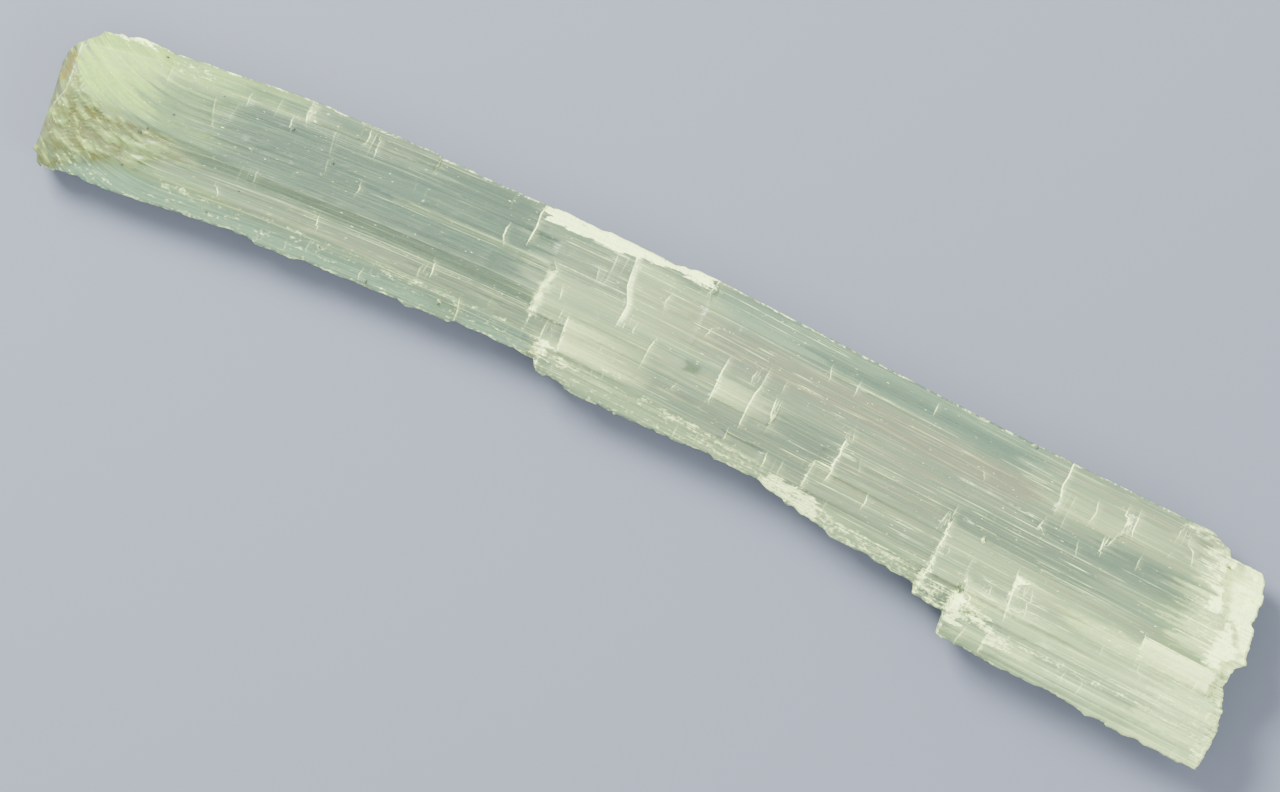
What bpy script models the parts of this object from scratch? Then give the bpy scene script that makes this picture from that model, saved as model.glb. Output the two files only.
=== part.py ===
"""Selenite crystal blade: one broken lath of fibrous gypsum, lying on its flat cleavage face.

The blade is laid out straight and then bent. `s` runs along the fibres from the stained left end,
`v` runs across them towards the upper edge, and `z` is the height above the surface it lies on.
Every size below is in millimetres; the finished mesh is in metres.

    1. a loft through the long edges of the crystal gives its faces;
    2. the broken outline, extruded, trims the loft to the crystal's plan;
    3. knives split off the ends, shingles stand on the top face, and pits and ledges are cut in;
    4. the straight blade is bent along its fibres and put on its own footprint.
"""

import math
import random

import bmesh
import bpy
from mathutils import Vector

MM = 0.001

# --- Driving dimensions ---------------------------------------------------------------------
LENGTH = 200.0  # along the fibres, end to end
THICKNESS = 12.0  # resting face to main cleavage face
SIDE_BAND = 3.4  # height at which the sides are widest
BEND_RADIUS = 612.0  # of the left half; the right half is straight
BEND_ENDS_AT = 107.0  # s where the bend has run out
TRIM = 0.3  # how far the loft reaches past the outline that trims it

# --- The broken outline, seen from above: (s, v) --------------------------------------------
UPPER_EDGE = [
    (4.0, 13.6), (6.2, 13.4), (9.0, 14.0), (12.0, 13.8), (15.0, 13.3), (28.0, 13.4), (33.0, 13.7),
    (40.0, 13.6), (42.0, 13.2), (57.4, 13.0), (58.0, 12.7), (75.0, 12.5), (97.0, 12.7), (98.0, 13.1),
    (100.0, 13.4), (150.0, 13.1), (170.0, 13.4), (186.5, 13.7), (188.5, 12.9), (190.2, 12.5),
    (191.0, 11.4), (196.3, 11.6),
]  # fmt: skip
RIGHT_END = [
    (197.2, 10.6), (197.9, 7.0), (197.9, 3.8), (198.5, 3.4), (199.2, -0.6), (199.6, -2.0),
    (198.5, -3.1), (198.3, -5.8), (197.9, -6.2), (198.9, -7.6), (199.9, -10.4), (200.3, -13.2),
    (200.5, -17.0),
]  # fmt: skip
LOWER_EDGE = [
    (200.2, -19.4), (195.5, -19.6), (182.0, -19.7), (175.0, -19.0), (160.0, -19.3), (156.2, -19.0),
    (155.6, -15.7), (150.6, -15.2), (150.0, -13.8), (144.0, -13.6), (142.0, -13.1), (136.0, -13.4),
    (133.0, -12.4), (127.0, -11.8), (122.5, -10.7), (114.6, -10.9), (114.2, -10.4), (110.0, -11.0),
    (90.0, -11.6), (89.2, -11.1), (85.0, -11.0), (83.8, -9.4), (71.0, -9.4), (62.5, -10.0),
    (46.0, -9.5), (39.5, -9.9), (37.5, -9.2), (26.5, -9.3), (13.0, -9.6), (6.0, -9.1),
]  # fmt: skip
LEFT_END = [
    (4.2, -9.3), (3.4, -8.7), (3.0, -7.5), (1.9, -7.1), (2.2, -5.8), (1.4, 0.0), (0.1, 7.0),
    (0.3, 9.0), (1.2, 10.2), (3.6, 12.4),
]  # fmt: skip
CHIP_STEP = 3.2  # longest straight run of a broken edge
CHIP_DEPTH = {"edge": 0.10, "end": 0.16}  # how far its chips stray
CHIP_SPREAD = 0.3  # of the run between two chips, how unevenly they are spaced
WELD = 0.01  # points closer than this are one

# --- The long edges between the crystal's faces: (s, v, height below the main face) ---------
# They run the whole length; two points close together in s are a cross fracture.
LOWER_BEVEL = [
    (0, -4.6, 2.6), (30, -5.2, 1.9), (80.0, -5.6, 1.9), (80.5, -5.8, 1.6), (84.0, -6.6, 1.5),
    (84.6, -7.0, 0.9), (120, -7.6, 1.0), (128.0, -9.0, 1.3), (150.2, -10.8, 1.5),
    (150.8, -11.6, 0.8), (155.8, -12.2, 0.9), (156.4, -14.4, 0.9), (200, -14.6, 0.7),
]  # fmt: skip
LOWER_RIM = [
    (0, -9.6, 6.2), (30, -9.6, 5.4), (83.6, -9.6, 5.2), (84.4, -11.2, 4.6), (122, -11.2, 4.8),
    (134, -13.2, 5.0), (150.2, -13.9, 5.0), (150.8, -15.4, 4.6), (155.8, -15.8, 4.6),
    (156.4, -19.4, 4.2), (200, -19.8, 3.8),
]  # fmt: skip
MAIN_RIDGE = [
    (0, 3.6, 0.0), (12, 2.6, 0.0), (22, 1.2, 0.0), (34, 0.2, 0.0), (80.0, -0.2, 0.0),
    (80.5, -1.2, 0.0), (150, -0.6, 0.0), (200, 1.6, 0.0),
]  # fmt: skip
UNDER_RIDGE = [
    (0, 1.6, 1.1), (22, -1.0, 0.8), (80.0, -2.4, 0.9), (80.5, -3.0, 0.25), (150, -3.2, 0.25),
    (200, -1.4, 0.2),
]  # fmt: skip
UPPER_BEVEL = [
    (0, 10.6, 0.6), (14, 11.6, 0.3), (16, 10.4, 0.15), (74.7, 10.1, 0.15), (75.2, 10.6, 0.5),
    (90, 10.5, 0.5), (103, 12.2, 0.4), (103.6, 9.2, 0.1), (162, 9.4, 0.1), (185, 10.8, 0.2),
    (191, 9.4, 1.4), (200, 8.8, 2.6),
]  # fmt: skip
UPPER_RIM = [
    (0, 13.6, 4.6), (14, 13.6, 3.4), (40, 13.6, 2.8), (74.7, 12.8, 2.6), (75.2, 12.8, 3.8),
    (97, 12.9, 3.4), (103, 13.6, 2.2), (160, 13.4, 2.0), (185, 13.8, 2.4), (191, 12.6, 4.4),
    (200, 12.0, 5.4),
]  # fmt: skip
BASE_INSET = {"lower": 2.4, "upper": 2.0}  # resting face, in from each rim

# --- Ribs: bundles of fibres along each face of the loft ------------------------------------
# (bundles across the face, how far a bundle stands out, how far it is sunk), in the order of the
# section's sides: resting face, upper side's two faces, upper bevel, four top faces, lower side
RIBS = [
    (1, 0.0, 0.0), (3, 0.20, 0.30), (6, 0.0, 0.80), (3, 0.10, 0.10), (7, 0.07, 0.07), (2, 0.05, 0.05),
    (3, 0.09, 0.09), (3, 0.16, 0.16), (7, 0.0, 0.90), (3, 0.20, 0.30),
]  # fmt: skip
RIB_SWELL = (45.0, 120.0)  # a rib grows and fades over a run between these
RIB_FADE = 0.35  # of its height, how much a rib grows and fades
RIB_STRAY = 0.25  # of a bundle's width, how unevenly the bundles are spaced
EXTRA_STATIONS = (50.0, 65.0, 112.0, 142.0, 170.0)  # sections where no long edge has a point
OVERRUN = (3.0, 4.0)  # how far the loft runs on past the left and right ends

# --- Shingles: laths whose broken ends stand up out of the top face ------------------------
# (s of the left end, s of the right end, v low, v high, height at each end, lean of the ends in s)
SHINGLES = [
    (80.1, 112.0, -3.0, 4.1, 0.55, 0.02, -0.9),
    (85.8, 101.0, -7.0, -1.7, 0.60, 0.05, 0.3),
    (109.8, 119.7, -2.7, 0.9, 0.40, 0.35, 0.1),
    (131.0, 152.0, -5.0, 0.5, 0.60, 0.05, 0.2),
    (128.1, 151.5, -8.8, -4.4, 0.55, 0.05, 0.3),
    (150.7, 188.0, -11.2, -3.2, 0.75, 0.05, 0.4),
    (156.8, 182.0, -13.6, -9.3, 0.80, 0.05, 0.6),
    (163.4, 178.0, -11.4, -5.6, 0.90, 0.05, -0.8),
    (163.1, 199.0, -18.2, -14.7, 0.55, 0.05, 0.1),
    (184.5, 196.6, -8.6, -5.1, 0.35, 0.70, 0.2),
    (163.3, 174.0, 5.6, 9.0, 0.30, 0.40, 0.4),
    (174.1, 189.0, 7.0, 10.4, 0.45, 0.05, 0.5),
    (37.2, 57.8, 10.6, 12.7, 0.70, 0.60, 0.3),
    (124.2, 146.0, 8.5, 9.1, 0.25, 0.05, 0.0),
    (52.0, 79.8, 3.7, 4.9, 0.10, 0.35, 0.0),
]
SHINGLE_ROOT = 2.4  # how deep a shingle is sunk into the blade
RAGGED_STEP = 1.6  # width of the teeth along a shingle's broken ends
RAGGED = 0.28  # how far those teeth stand in or out
# Flakes of the brown fracture, by the same measures and a turn in plan, in degrees.
FLAKES = [
    (2.6, 7.4, 0.8, 2.2, 0.05, 0.55, 0.5, -50),
    (5.2, 11.4, -0.9, 0.7, 0.05, 0.55, 0.5, -42),
    (3.0, 8.6, -3.9, -2.4, 0.05, 0.60, 0.4, -47),
    (8.6, 15.2, -2.4, -0.9, 0.05, 0.45, 0.5, -31),
    (7.0, 13.0, -5.2, -3.7, 0.05, 0.55, 0.4, -36),
    (13.0, 21.0, -2.1, -0.7, 0.05, 0.35, 0.6, -17),
    (12.0, 19.4, -4.9, -3.4, 0.05, 0.45, 0.5, -21),
]

# --- Pits cut into the top face: (s from, s to, v from, v to, depth) ------------------------
PITS = [
    (104.2, 106.7, -1.2, 0.7, 0.55),
    (75.4, 79.6, 6.6, 8.4, 0.40),
    (98.3, 103.9, -2.6, 0.6, 0.30),
    (24.0, 27.0, 5.6, 8.6, 0.22),
    (114.0, 121.0, -8.2, -6.4, 0.45),
]
# Where the outer layers of fibres broke off short of the right end: (v, s, depth of the break).
TOP_LAYER_END = [
    (-19.0, 199.6, 0.5), (-9.4, 199.2, 0.8), (-9.2, 197.0, 1.1), (-2.4, 196.6, 1.5), (-2.2, 197.4, 0.9),
    (1.0, 196.6, 0.9), (4.2, 193.2, 1.5), (4.6, 192.2, 2.2), (14.0, 190.6, 2.5),
]  # fmt: skip
BOTTOM_LAYER_END = [(-21.0, 198.9, 2.4), (-8.0, 197.2, 3.6), (2.0, 196.0, 2.6), (13.0, 194.6, 3.4)]
SPLINTER_WIDTH = 1.45
SPLINTER_STRAY = (0.9, 0.25)  # how far single bundles stray from that line in s, and in depth
SPLINTER_FALL = (0.1, 1.3)  # how much shallower a broken bundle is at its tip
SPLINTER_GAP = 0.07  # half the width of the wall between two bundles
SPLINTER_LEAN = 0.5  # how far the break leans over its height
# Flakes missing from the resting face: (s from, s to, v from, v to, depth).
UNDERCUTS = [
    (-4.0, 26.0, 4.6, 18.0, 0.9),
    (58.0, 92.0, 8.0, 18.0, 0.6),
    (118.0, 204.0, -24.0, -11.8, 0.8),
    (186.0, 204.0, -4.0, 18.0, 1.0),
]

# --- Knives: planes that break the ends off aslant -----------------------------------------
# (point on the plane (s, v, z), direction the waste lies in, roughness of the break)
KNIVES = [
    # the narrow stained facet on the left end, its crest 1.5 to 3 mm in from the tip
    ((2.0, 10.0, 12.0), (-0.93, -0.13, 0.36), 0.22),
    # the ragged brown fracture that falls away to the lower left corner
    ((4.0, 3.6, 12.0), (-0.24, -0.30, 0.92), 0.12),
    # the rounded upper corners of both ends
    ((5.2, 13.2, 8.6), (-0.35, 0.62, 0.70), 0.10),
    ((189.4, 11.8, 11.0), (0.46, 0.46, 0.76), 0.14),
]
KNIFE_FACE = (52.0, 60.0)  # size of a knife's face, small enough to meet one end alone
KNIFE_FACETS = (20, 24)  # facets along each side of that face
KNIFE_REACH = 30.0  # how far the waste reaches behind the face

CLEAR = 6.0  # how far the waste of any cut reaches past the blade
BEND_STATION = 7.0  # spacing of the cuts that let the faces bend

random_chips = random.Random(20)


# --- Helpers ---------------------------------------------------------------------------------
def clear_scene():
    for old in list(bpy.data.objects):
        bpy.data.objects.remove(old)


def collection(name):
    made = bpy.data.collections.new(name)
    bpy.context.scene.collection.children.link(made)
    return made


def mesh_object(name, mesh, home):
    made = bpy.data.objects.new(name, mesh)
    home.objects.link(made)
    return made


def object_from_bmesh(name, bm, home):
    bmesh.ops.recalc_face_normals(bm, faces=bm.faces)
    mesh = bpy.data.meshes.new(name)
    bm.to_mesh(mesh)
    bm.free()
    return mesh_object(name, mesh, home)


def loft(name, bm, rings, home):
    """A closed solid through a row of sections that have equally many points."""
    for one, two in zip(rings, rings[1:]):
        for k in range(len(one)):
            j = (k + 1) % len(one)
            bm.faces.new((one[k], one[j], two[j], two[k]))
    bm.faces.new(rings[0])
    bm.faces.new(rings[-1])
    return object_from_bmesh(name, bm, home)


def broken(points, depth):
    """The same run of points with its long stretches split and each new point chipped in or out."""
    made = [points[0]]
    for (s0, v0), (s1, v1) in zip(points, points[1:]):
        run = math.dist((s0, v0), (s1, v1))
        pieces = max(1, round(run / CHIP_STEP))
        across = ((v0 - v1) / run, (s1 - s0) / run)
        for k in range(1, pieces):
            stray = random_chips.uniform(-depth, depth)
            share = (k + random_chips.uniform(-CHIP_SPREAD, CHIP_SPREAD)) / pieces
            s = s0 + share * (s1 - s0) + stray * across[0]
            v = v0 + share * (v1 - v0) + stray * across[1]
            made.append((s, v))
        made.append((s1, v1))
    return made


def along(edge, s):
    """(v, depth) of a long edge at s, straight between its points."""
    if s <= edge[0][0]:
        return edge[0][1:]
    for (s0, v0, d0), (s1, v1, d1) in zip(edge, edge[1:]):
        if s <= s1:
            share = (s - s0) / (s1 - s0)
            return v0 + share * (v1 - v0), d0 + share * (d1 - d0)
    return edge[-1][1:]


def corners(s):
    """Corners of the cross-section at s as (v, z), anticlockwise from the resting face's lower end."""
    low_v, low_drop = along(LOWER_RIM, s)
    high_v, high_drop = along(UPPER_RIM, s)
    top_edges = (along(edge, s) for edge in (UPPER_BEVEL, MAIN_RIDGE, UNDER_RIDGE, LOWER_BEVEL))
    upper = [(v, THICKNESS - drop) for v, drop in top_edges]
    return [
        (low_v + BASE_INSET["lower"], 0.0),
        (high_v - BASE_INSET["upper"], 0.0),
        (high_v + TRIM, SIDE_BAND),
        (high_v + TRIM, THICKNESS - high_drop),
        *upper,
        (low_v - TRIM, THICKNESS - low_drop),
        (low_v - TRIM, SIDE_BAND),
    ]


def rib_pattern():
    """For each side of the section, its ribs as (share of the way across, height, run, phase)."""
    pattern = []
    for count, out, sunk in RIBS:
        side = []
        for k in range(1, count):
            share = (k + random_chips.uniform(-RIB_STRAY, RIB_STRAY)) / count
            stand = random_chips.uniform(-sunk, out)
            run = random_chips.uniform(*RIB_SWELL)
            phase = random_chips.uniform(0, math.tau)
            side.append((share, stand, run, phase))
        pattern.append(side)
    return pattern


def section(s, pattern):
    """The cross-section at s as (v, z), with every side broken up into its ribs."""
    points = []
    plain = corners(s)
    for (v0, z0), (v1, z1), ribs in zip(plain, plain[1:] + plain[:1], pattern):
        points.append((v0, z0))
        width = math.dist((v0, z0), (v1, z1))
        outward = ((z1 - z0) / width, (v0 - v1) / width)
        for share, stand, run, phase in ribs:
            swell = stand * (1 - RIB_FADE + RIB_FADE * math.sin(math.tau * s / run + phase))
            v = v0 + share * (v1 - v0) + swell * outward[0]
            z = z0 + share * (z1 - z0) + swell * outward[1]
            points.append((v, z))
    return points


# --- The pieces that the blade is made from ------------------------------------------------
def crystal_faces(home):
    """The loft through the long edges, a little longer than the blade at both ends."""
    edges = (LOWER_BEVEL, LOWER_RIM, MAIN_RIDGE, UNDER_RIDGE, UPPER_BEVEL, UPPER_RIM)
    stations = {p[0] for e in edges for p in e if 0 < p[0] < LENGTH}
    stations |= {-OVERRUN[0], LENGTH + OVERRUN[1], *EXTRA_STATIONS}
    pattern = rib_pattern()
    bm = bmesh.new()
    rings = []
    for s in sorted(stations):
        rings.append([bm.verts.new(Vector((s, v, z)) * MM) for v, z in section(s, pattern)])
    return loft("selenite_blade", bm, rings, home)


def outline_slab(home):
    """The broken outline as a flat curve, extruded through more than the blade's thickness."""
    points = (
        broken(UPPER_EDGE, CHIP_DEPTH["edge"])
        + broken(RIGHT_END, CHIP_DEPTH["end"])
        + broken(LOWER_EDGE, CHIP_DEPTH["edge"])
        + broken(LEFT_END, CHIP_DEPTH["end"])
    )
    curve = bpy.data.curves.new("outline", "CURVE")
    curve.dimensions = "2D"
    curve.fill_mode = "BOTH"
    curve.extrude = THICKNESS * MM
    spline = curve.splines.new("POLY")
    spline.points.add(len(points) - 1)
    for point, (s, v) in zip(spline.points, points):
        point.co = (s * MM, v * MM, 0.0, 1.0)
    spline.use_cyclic_u = True
    drawn = mesh_object("outline", curve, home)
    drawn.location.z = THICKNESS / 2 * MM
    return as_closed_mesh(drawn, home)


def as_closed_mesh(drawn, home):
    """A curve object made a mesh object with its caps welded on."""
    bpy.context.view_layer.update()
    graph = bpy.context.evaluated_depsgraph_get()
    mesh = bpy.data.meshes.new_from_object(drawn.evaluated_get(graph))
    bm = bmesh.new()
    bm.from_mesh(mesh)
    bmesh.ops.remove_doubles(bm, verts=bm.verts, dist=WELD * MM)
    bmesh.ops.recalc_face_normals(bm, faces=bm.faces)
    bm.to_mesh(mesh)
    bm.free()
    made = mesh_object(drawn.name + "_solid", mesh, home)
    made.matrix_world = drawn.matrix_world
    bpy.data.objects.remove(drawn)
    return made


def top_height(s, v):
    """Height of the lofted top face at (s, v), straight between the long edges."""
    line = sorted(corners(s)[3:9])
    for (v0, z0), (v1, z1) in zip(line, line[1:]):
        if v0 <= v <= v1:
            return z0 + (v - v0) / (v1 - v0) * (z1 - z0)
    return line[0][1] if v < line[0][0] else line[-1][1]


def turned(s, v, middle, angle):
    """A point of the plan turned about a middle point."""
    ds, dv = s - middle[0], v - middle[1]
    cos, sin = math.cos(angle), math.sin(angle)
    return middle[0] + ds * cos - dv * sin, middle[1] + ds * sin + dv * cos


def shingle(name, size, home):
    """A lath sunk into the top face: its plan is ragged at both ends, and its top a slanting plane."""
    s0, s1, v0, v1, rise0, rise1, lean = size[:7]
    turn = math.radians(size[7]) if len(size) > 7 else 0.0
    middle = ((s0 + s1) / 2, (v0 + v1) / 2)
    steps = max(2, round((v1 - v0) / RAGGED_STEP))
    left, right = [], []
    for k in range(steps + 1):
        share = k / steps
        v = v0 + share * (v1 - v0)
        ragged = random_chips.uniform(-RAGGED, RAGGED) if 0 < k < steps else 0.0
        left.append((s0 + lean * (0.5 - share) + ragged, v, rise0))
        right.append((s1 - lean * (0.5 - share) + ragged, v, rise1))
    bm = bmesh.new()
    plan = [(*turned(s, v, middle, turn), rise) for s, v, rise in left + right[::-1]]
    top = [bm.verts.new(Vector((s, v, top_height(s, v) + rise)) * MM) for s, v, rise in plan]
    base = [bm.verts.new(Vector((s, v, top_height(s, v) - SHINGLE_ROOT)) * MM) for s, v, _ in plan]
    for k in range(steps):
        near, far = k, 2 * steps + 1 - k
        bm.faces.new((top[near], top[near + 1], top[far - 1], top[far]))
        bm.faces.new((base[near], base[far], base[far - 1], base[near + 1]))
    for k in range(len(plan)):
        j = (k + 1) % len(plan)
        bm.faces.new((base[k], base[j], top[j], top[k]))
    return object_from_bmesh(name, bm, home)


def box(name, low, high, home):
    """An upright box from its lowest to its highest corner, in millimetres."""
    bm = bmesh.new()
    bmesh.ops.create_cube(bm, size=1.0)
    middle = (Vector(low) + Vector(high)) / 2
    bmesh.ops.scale(bm, vec=(Vector(high) - Vector(low)) * MM, verts=bm.verts)
    bmesh.ops.translate(bm, vec=middle * MM, verts=bm.verts)
    return object_from_bmesh(name, bm, home)


def splinters(name, line, home):
    """The waste of one outer layer of fibre bundles that broke off short of the right end, as a comb.

    Each bundle has its own break and its own floor, or ceiling where the layer is the bottom one.
    """
    low, high = line[0][0], line[-1][0]
    bundles = round((high - low) / SPLINTER_WIDTH)
    bm = bmesh.new()
    rings = []
    for k in range(bundles):
        v0, v1 = low + k * SPLINTER_WIDTH, low + (k + 1) * SPLINTER_WIDTH
        end, depth = along(line, (v0 + v1) / 2)
        end += random_chips.uniform(-1, 1) * SPLINTER_STRAY[0]
        depth += random_chips.uniform(-1, 1) * SPLINTER_STRAY[1]
        fall = random_chips.uniform(*SPLINTER_FALL)
        if line is TOP_LAYER_END:
            near = top_height(min(end, LENGTH), (v0 + v1) / 2) - depth
            far, clear = near - fall, THICKNESS + CLEAR
        else:
            near, far, clear = depth, depth + fall, -CLEAR
        tip = LENGTH + CLEAR
        profile = [(end + SPLINTER_LEAN, clear), (end, near), (tip, far), (tip, clear)]
        for v in (v0 + SPLINTER_GAP, v1 - SPLINTER_GAP):
            rings.append([bm.verts.new(Vector((s, v, z)) * MM) for s, z in profile])
    return loft(name, bm, rings, home)


def knife(number, plane, home):
    """A block of waste: one face lies on the plane, rough as a break, and the rest is behind it."""
    point, direction, rough = plane
    bm = bmesh.new()
    bmesh.ops.create_grid(bm, x_segments=KNIFE_FACETS[0], y_segments=KNIFE_FACETS[1], size=0.5)
    bmesh.ops.scale(bm, vec=Vector((*KNIFE_FACE, 1.0)) * MM, verts=bm.verts)
    for vert in bm.verts:
        vert.co.z = random_chips.uniform(-rough, rough) * MM
    back = bmesh.ops.extrude_face_region(bm, geom=bm.faces[:])["geom"]
    lifted = [part for part in back if isinstance(part, bmesh.types.BMVert)]
    bmesh.ops.translate(bm, vec=(0, 0, KNIFE_REACH * MM), verts=lifted)
    made = object_from_bmesh(f"knife_{number}", bm, home)
    made.rotation_mode = "QUATERNION"
    made.rotation_quaternion = Vector(direction).to_track_quat("Z", "Y")
    made.location = Vector(point) * MM
    return made


def combine(target, tool, operation):
    """Adds the tool to the target's modifiers as a Boolean and hides the tool."""
    modifier = target.modifiers.new(f"{operation.lower()} {tool.name}", "BOOLEAN")
    modifier.operation = operation
    modifier.object = tool
    tool.hide_render = True
    tool.display_type = "WIRE"


def bake(target):
    """Applies the target's modifiers to its mesh."""
    bpy.context.view_layer.update()
    graph = bpy.context.evaluated_depsgraph_get()
    mesh = bpy.data.meshes.new_from_object(target.evaluated_get(graph))
    target.modifiers.clear()
    target.data = mesh


def bend_drop(s):
    """How far the fibres at s have curved away from the straight right half."""
    return (BEND_ENDS_AT - s) ** 2 / (2 * BEND_RADIUS) if s < BEND_ENDS_AT else 0.0


def bend(target):
    """Cuts the straight blade across at even stations and slides each point down the fibres' arc."""
    bm = bmesh.new()
    bm.from_mesh(target.data)
    for k in range(1, int(BEND_ENDS_AT / BEND_STATION) + 1):
        parts = bm.verts[:] + bm.edges[:] + bm.faces[:]
        station = Vector((k * BEND_STATION * MM, 0, 0))
        bmesh.ops.bisect_plane(bm, geom=parts, plane_co=station, plane_no=(1, 0, 0), dist=WELD * MM)
    for vert in bm.verts:
        vert.co.y -= bend_drop(vert.co.x / MM) * MM
    bmesh.ops.triangulate(bm, faces=bm.faces)
    bm.to_mesh(target.data)
    bm.free()


def stand_on_footprint(target):
    """Moves the mesh so that the origin is under the middle of its bounding box, on the resting face."""
    corners = [v.co for v in target.data.vertices]
    low = [min(c[k] for c in corners) for k in range(3)]
    high = [max(c[k] for c in corners) for k in range(3)]
    shift = Vector((-(low[0] + high[0]) / 2, -(low[1] + high[1]) / 2, -low[2]))
    for vert in target.data.vertices:
        vert.co += shift


def selenite():
    """Milky, faintly green gypsum with a silky lustre."""
    made = bpy.data.materials.new("selenite")
    made.use_nodes = True
    surface = made.node_tree.nodes["Principled BSDF"]
    surface.inputs["Base Color"].default_value = (0.62, 0.64, 0.52, 1.0)
    surface.inputs["Roughness"].default_value = 0.38
    surface.inputs["Metallic"].default_value = 0.0
    surface.inputs["IOR"].default_value = 1.52
    return made


def main():
    clear_scene()
    home = collection("selenite_crystal_blade")
    tools = collection("cutters")
    blade = crystal_faces(home)
    combine(blade, outline_slab(tools), "INTERSECT")
    for number, size in enumerate(SHINGLES):
        combine(blade, shingle(f"shingle_{number:02d}", size, tools), "UNION")
    for number, size in enumerate(FLAKES):
        combine(blade, shingle(f"flake_{number}", size, tools), "UNION")
    for number, (s0, s1, v0, v1, depth) in enumerate(PITS):
        floor = min(top_height(s0, v) for v in (v0, v1)) - depth
        pit = box(f"pit_{number}", (s0, v0, floor), (s1, v1, THICKNESS + CLEAR), tools)
        combine(blade, pit, "DIFFERENCE")
    combine(blade, splinters("top_splinters", TOP_LAYER_END, tools), "DIFFERENCE")
    combine(blade, splinters("bottom_splinters", BOTTOM_LAYER_END, tools), "DIFFERENCE")
    for number, (s0, s1, v0, v1, depth) in enumerate(UNDERCUTS):
        undercut = box(f"undercut_{number}", (s0, v0, -CLEAR), (s1, v1, depth), tools)
        combine(blade, undercut, "DIFFERENCE")
    for number, plane in enumerate(KNIVES):
        combine(blade, knife(number, plane, tools), "DIFFERENCE")
    bake(blade)
    bend(blade)
    stand_on_footprint(blade)
    blade.data.materials.append(selenite())


main()
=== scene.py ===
# %% [markdown]
# # A selenite crystal blade
# Selenite is gypsum that grew as a bundle of long fibres. A blade of it splits along the fibres
# into flat, silky faces, and it snaps across them into white, frosty breaks.
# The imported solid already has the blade's size, its faces and its main ledges. This script
# makes the surface that is seen: one closed skin with the fibres, flakes and splinters on it.

import math

import bmesh
import bpy
import numpy as np
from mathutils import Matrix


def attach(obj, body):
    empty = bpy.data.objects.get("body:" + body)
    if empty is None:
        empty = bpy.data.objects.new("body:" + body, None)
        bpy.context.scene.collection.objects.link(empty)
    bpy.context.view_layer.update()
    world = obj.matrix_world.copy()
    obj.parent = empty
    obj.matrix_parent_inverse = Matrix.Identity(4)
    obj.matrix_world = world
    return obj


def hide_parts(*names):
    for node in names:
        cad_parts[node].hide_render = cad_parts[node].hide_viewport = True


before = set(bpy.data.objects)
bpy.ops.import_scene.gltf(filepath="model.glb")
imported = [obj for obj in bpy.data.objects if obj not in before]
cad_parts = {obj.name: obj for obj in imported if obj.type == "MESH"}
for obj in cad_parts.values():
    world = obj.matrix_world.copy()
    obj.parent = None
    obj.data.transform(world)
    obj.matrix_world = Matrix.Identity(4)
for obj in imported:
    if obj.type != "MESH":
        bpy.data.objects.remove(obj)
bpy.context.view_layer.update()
MM = 0.001


def shown(name, data):
    """A new object in the scene that holds the mesh, light or camera."""
    made = bpy.data.objects.new(name, data)
    bpy.context.scene.collection.objects.link(made)
    return made


# %% [markdown]
# ## Straight first, bent last
# Everything on a fibrous crystal follows the fibres, and these fibres bend. It is far easier to
# draw the blade straight and to bend it when its points are placed, than to chase the bend in
# each feature. So s runs along the fibres from the stained left end, v runs across them and z
# is the height above the table, all in millimetres.

# %% From the straight drawing to the blade's place
LENGTH = 200.0
THICKNESS = 12.0  # resting face to main cleavage face
BEND_RADIUS = 612.0  # of the left half; the right half is straight
BEND_ENDS_AT = 107.0
ORIGIN = (100.3, -2.995)  # the bent (s, v) that lies under the middle of the blade's box


def placed(s, v, z):
    """Straight millimetres to metres in place: v drops by the squared distance left of the bend's
    end, divided by twice the bend's radius."""
    drop = np.clip(BEND_ENDS_AT - s, 0.0, None) ** 2 / (2.0 * BEND_RADIUS)
    return np.stack([s - ORIGIN[0], v - drop - ORIGIN[1], z], axis=-1) * MM


print(f"left tip drops by {BEND_ENDS_AT**2 / (2 * BEND_RADIUS):.2f} mm")

# %% [markdown]
# ## The broken outline and the long edges
# Two runs of points give the outline's long sides, and two more give how far the left and right
# ends reach at each v. The faces between them meet in long edges, each a run of points with its
# v and its drop below the main face. Two points close together in s make a cross fracture.

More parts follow.
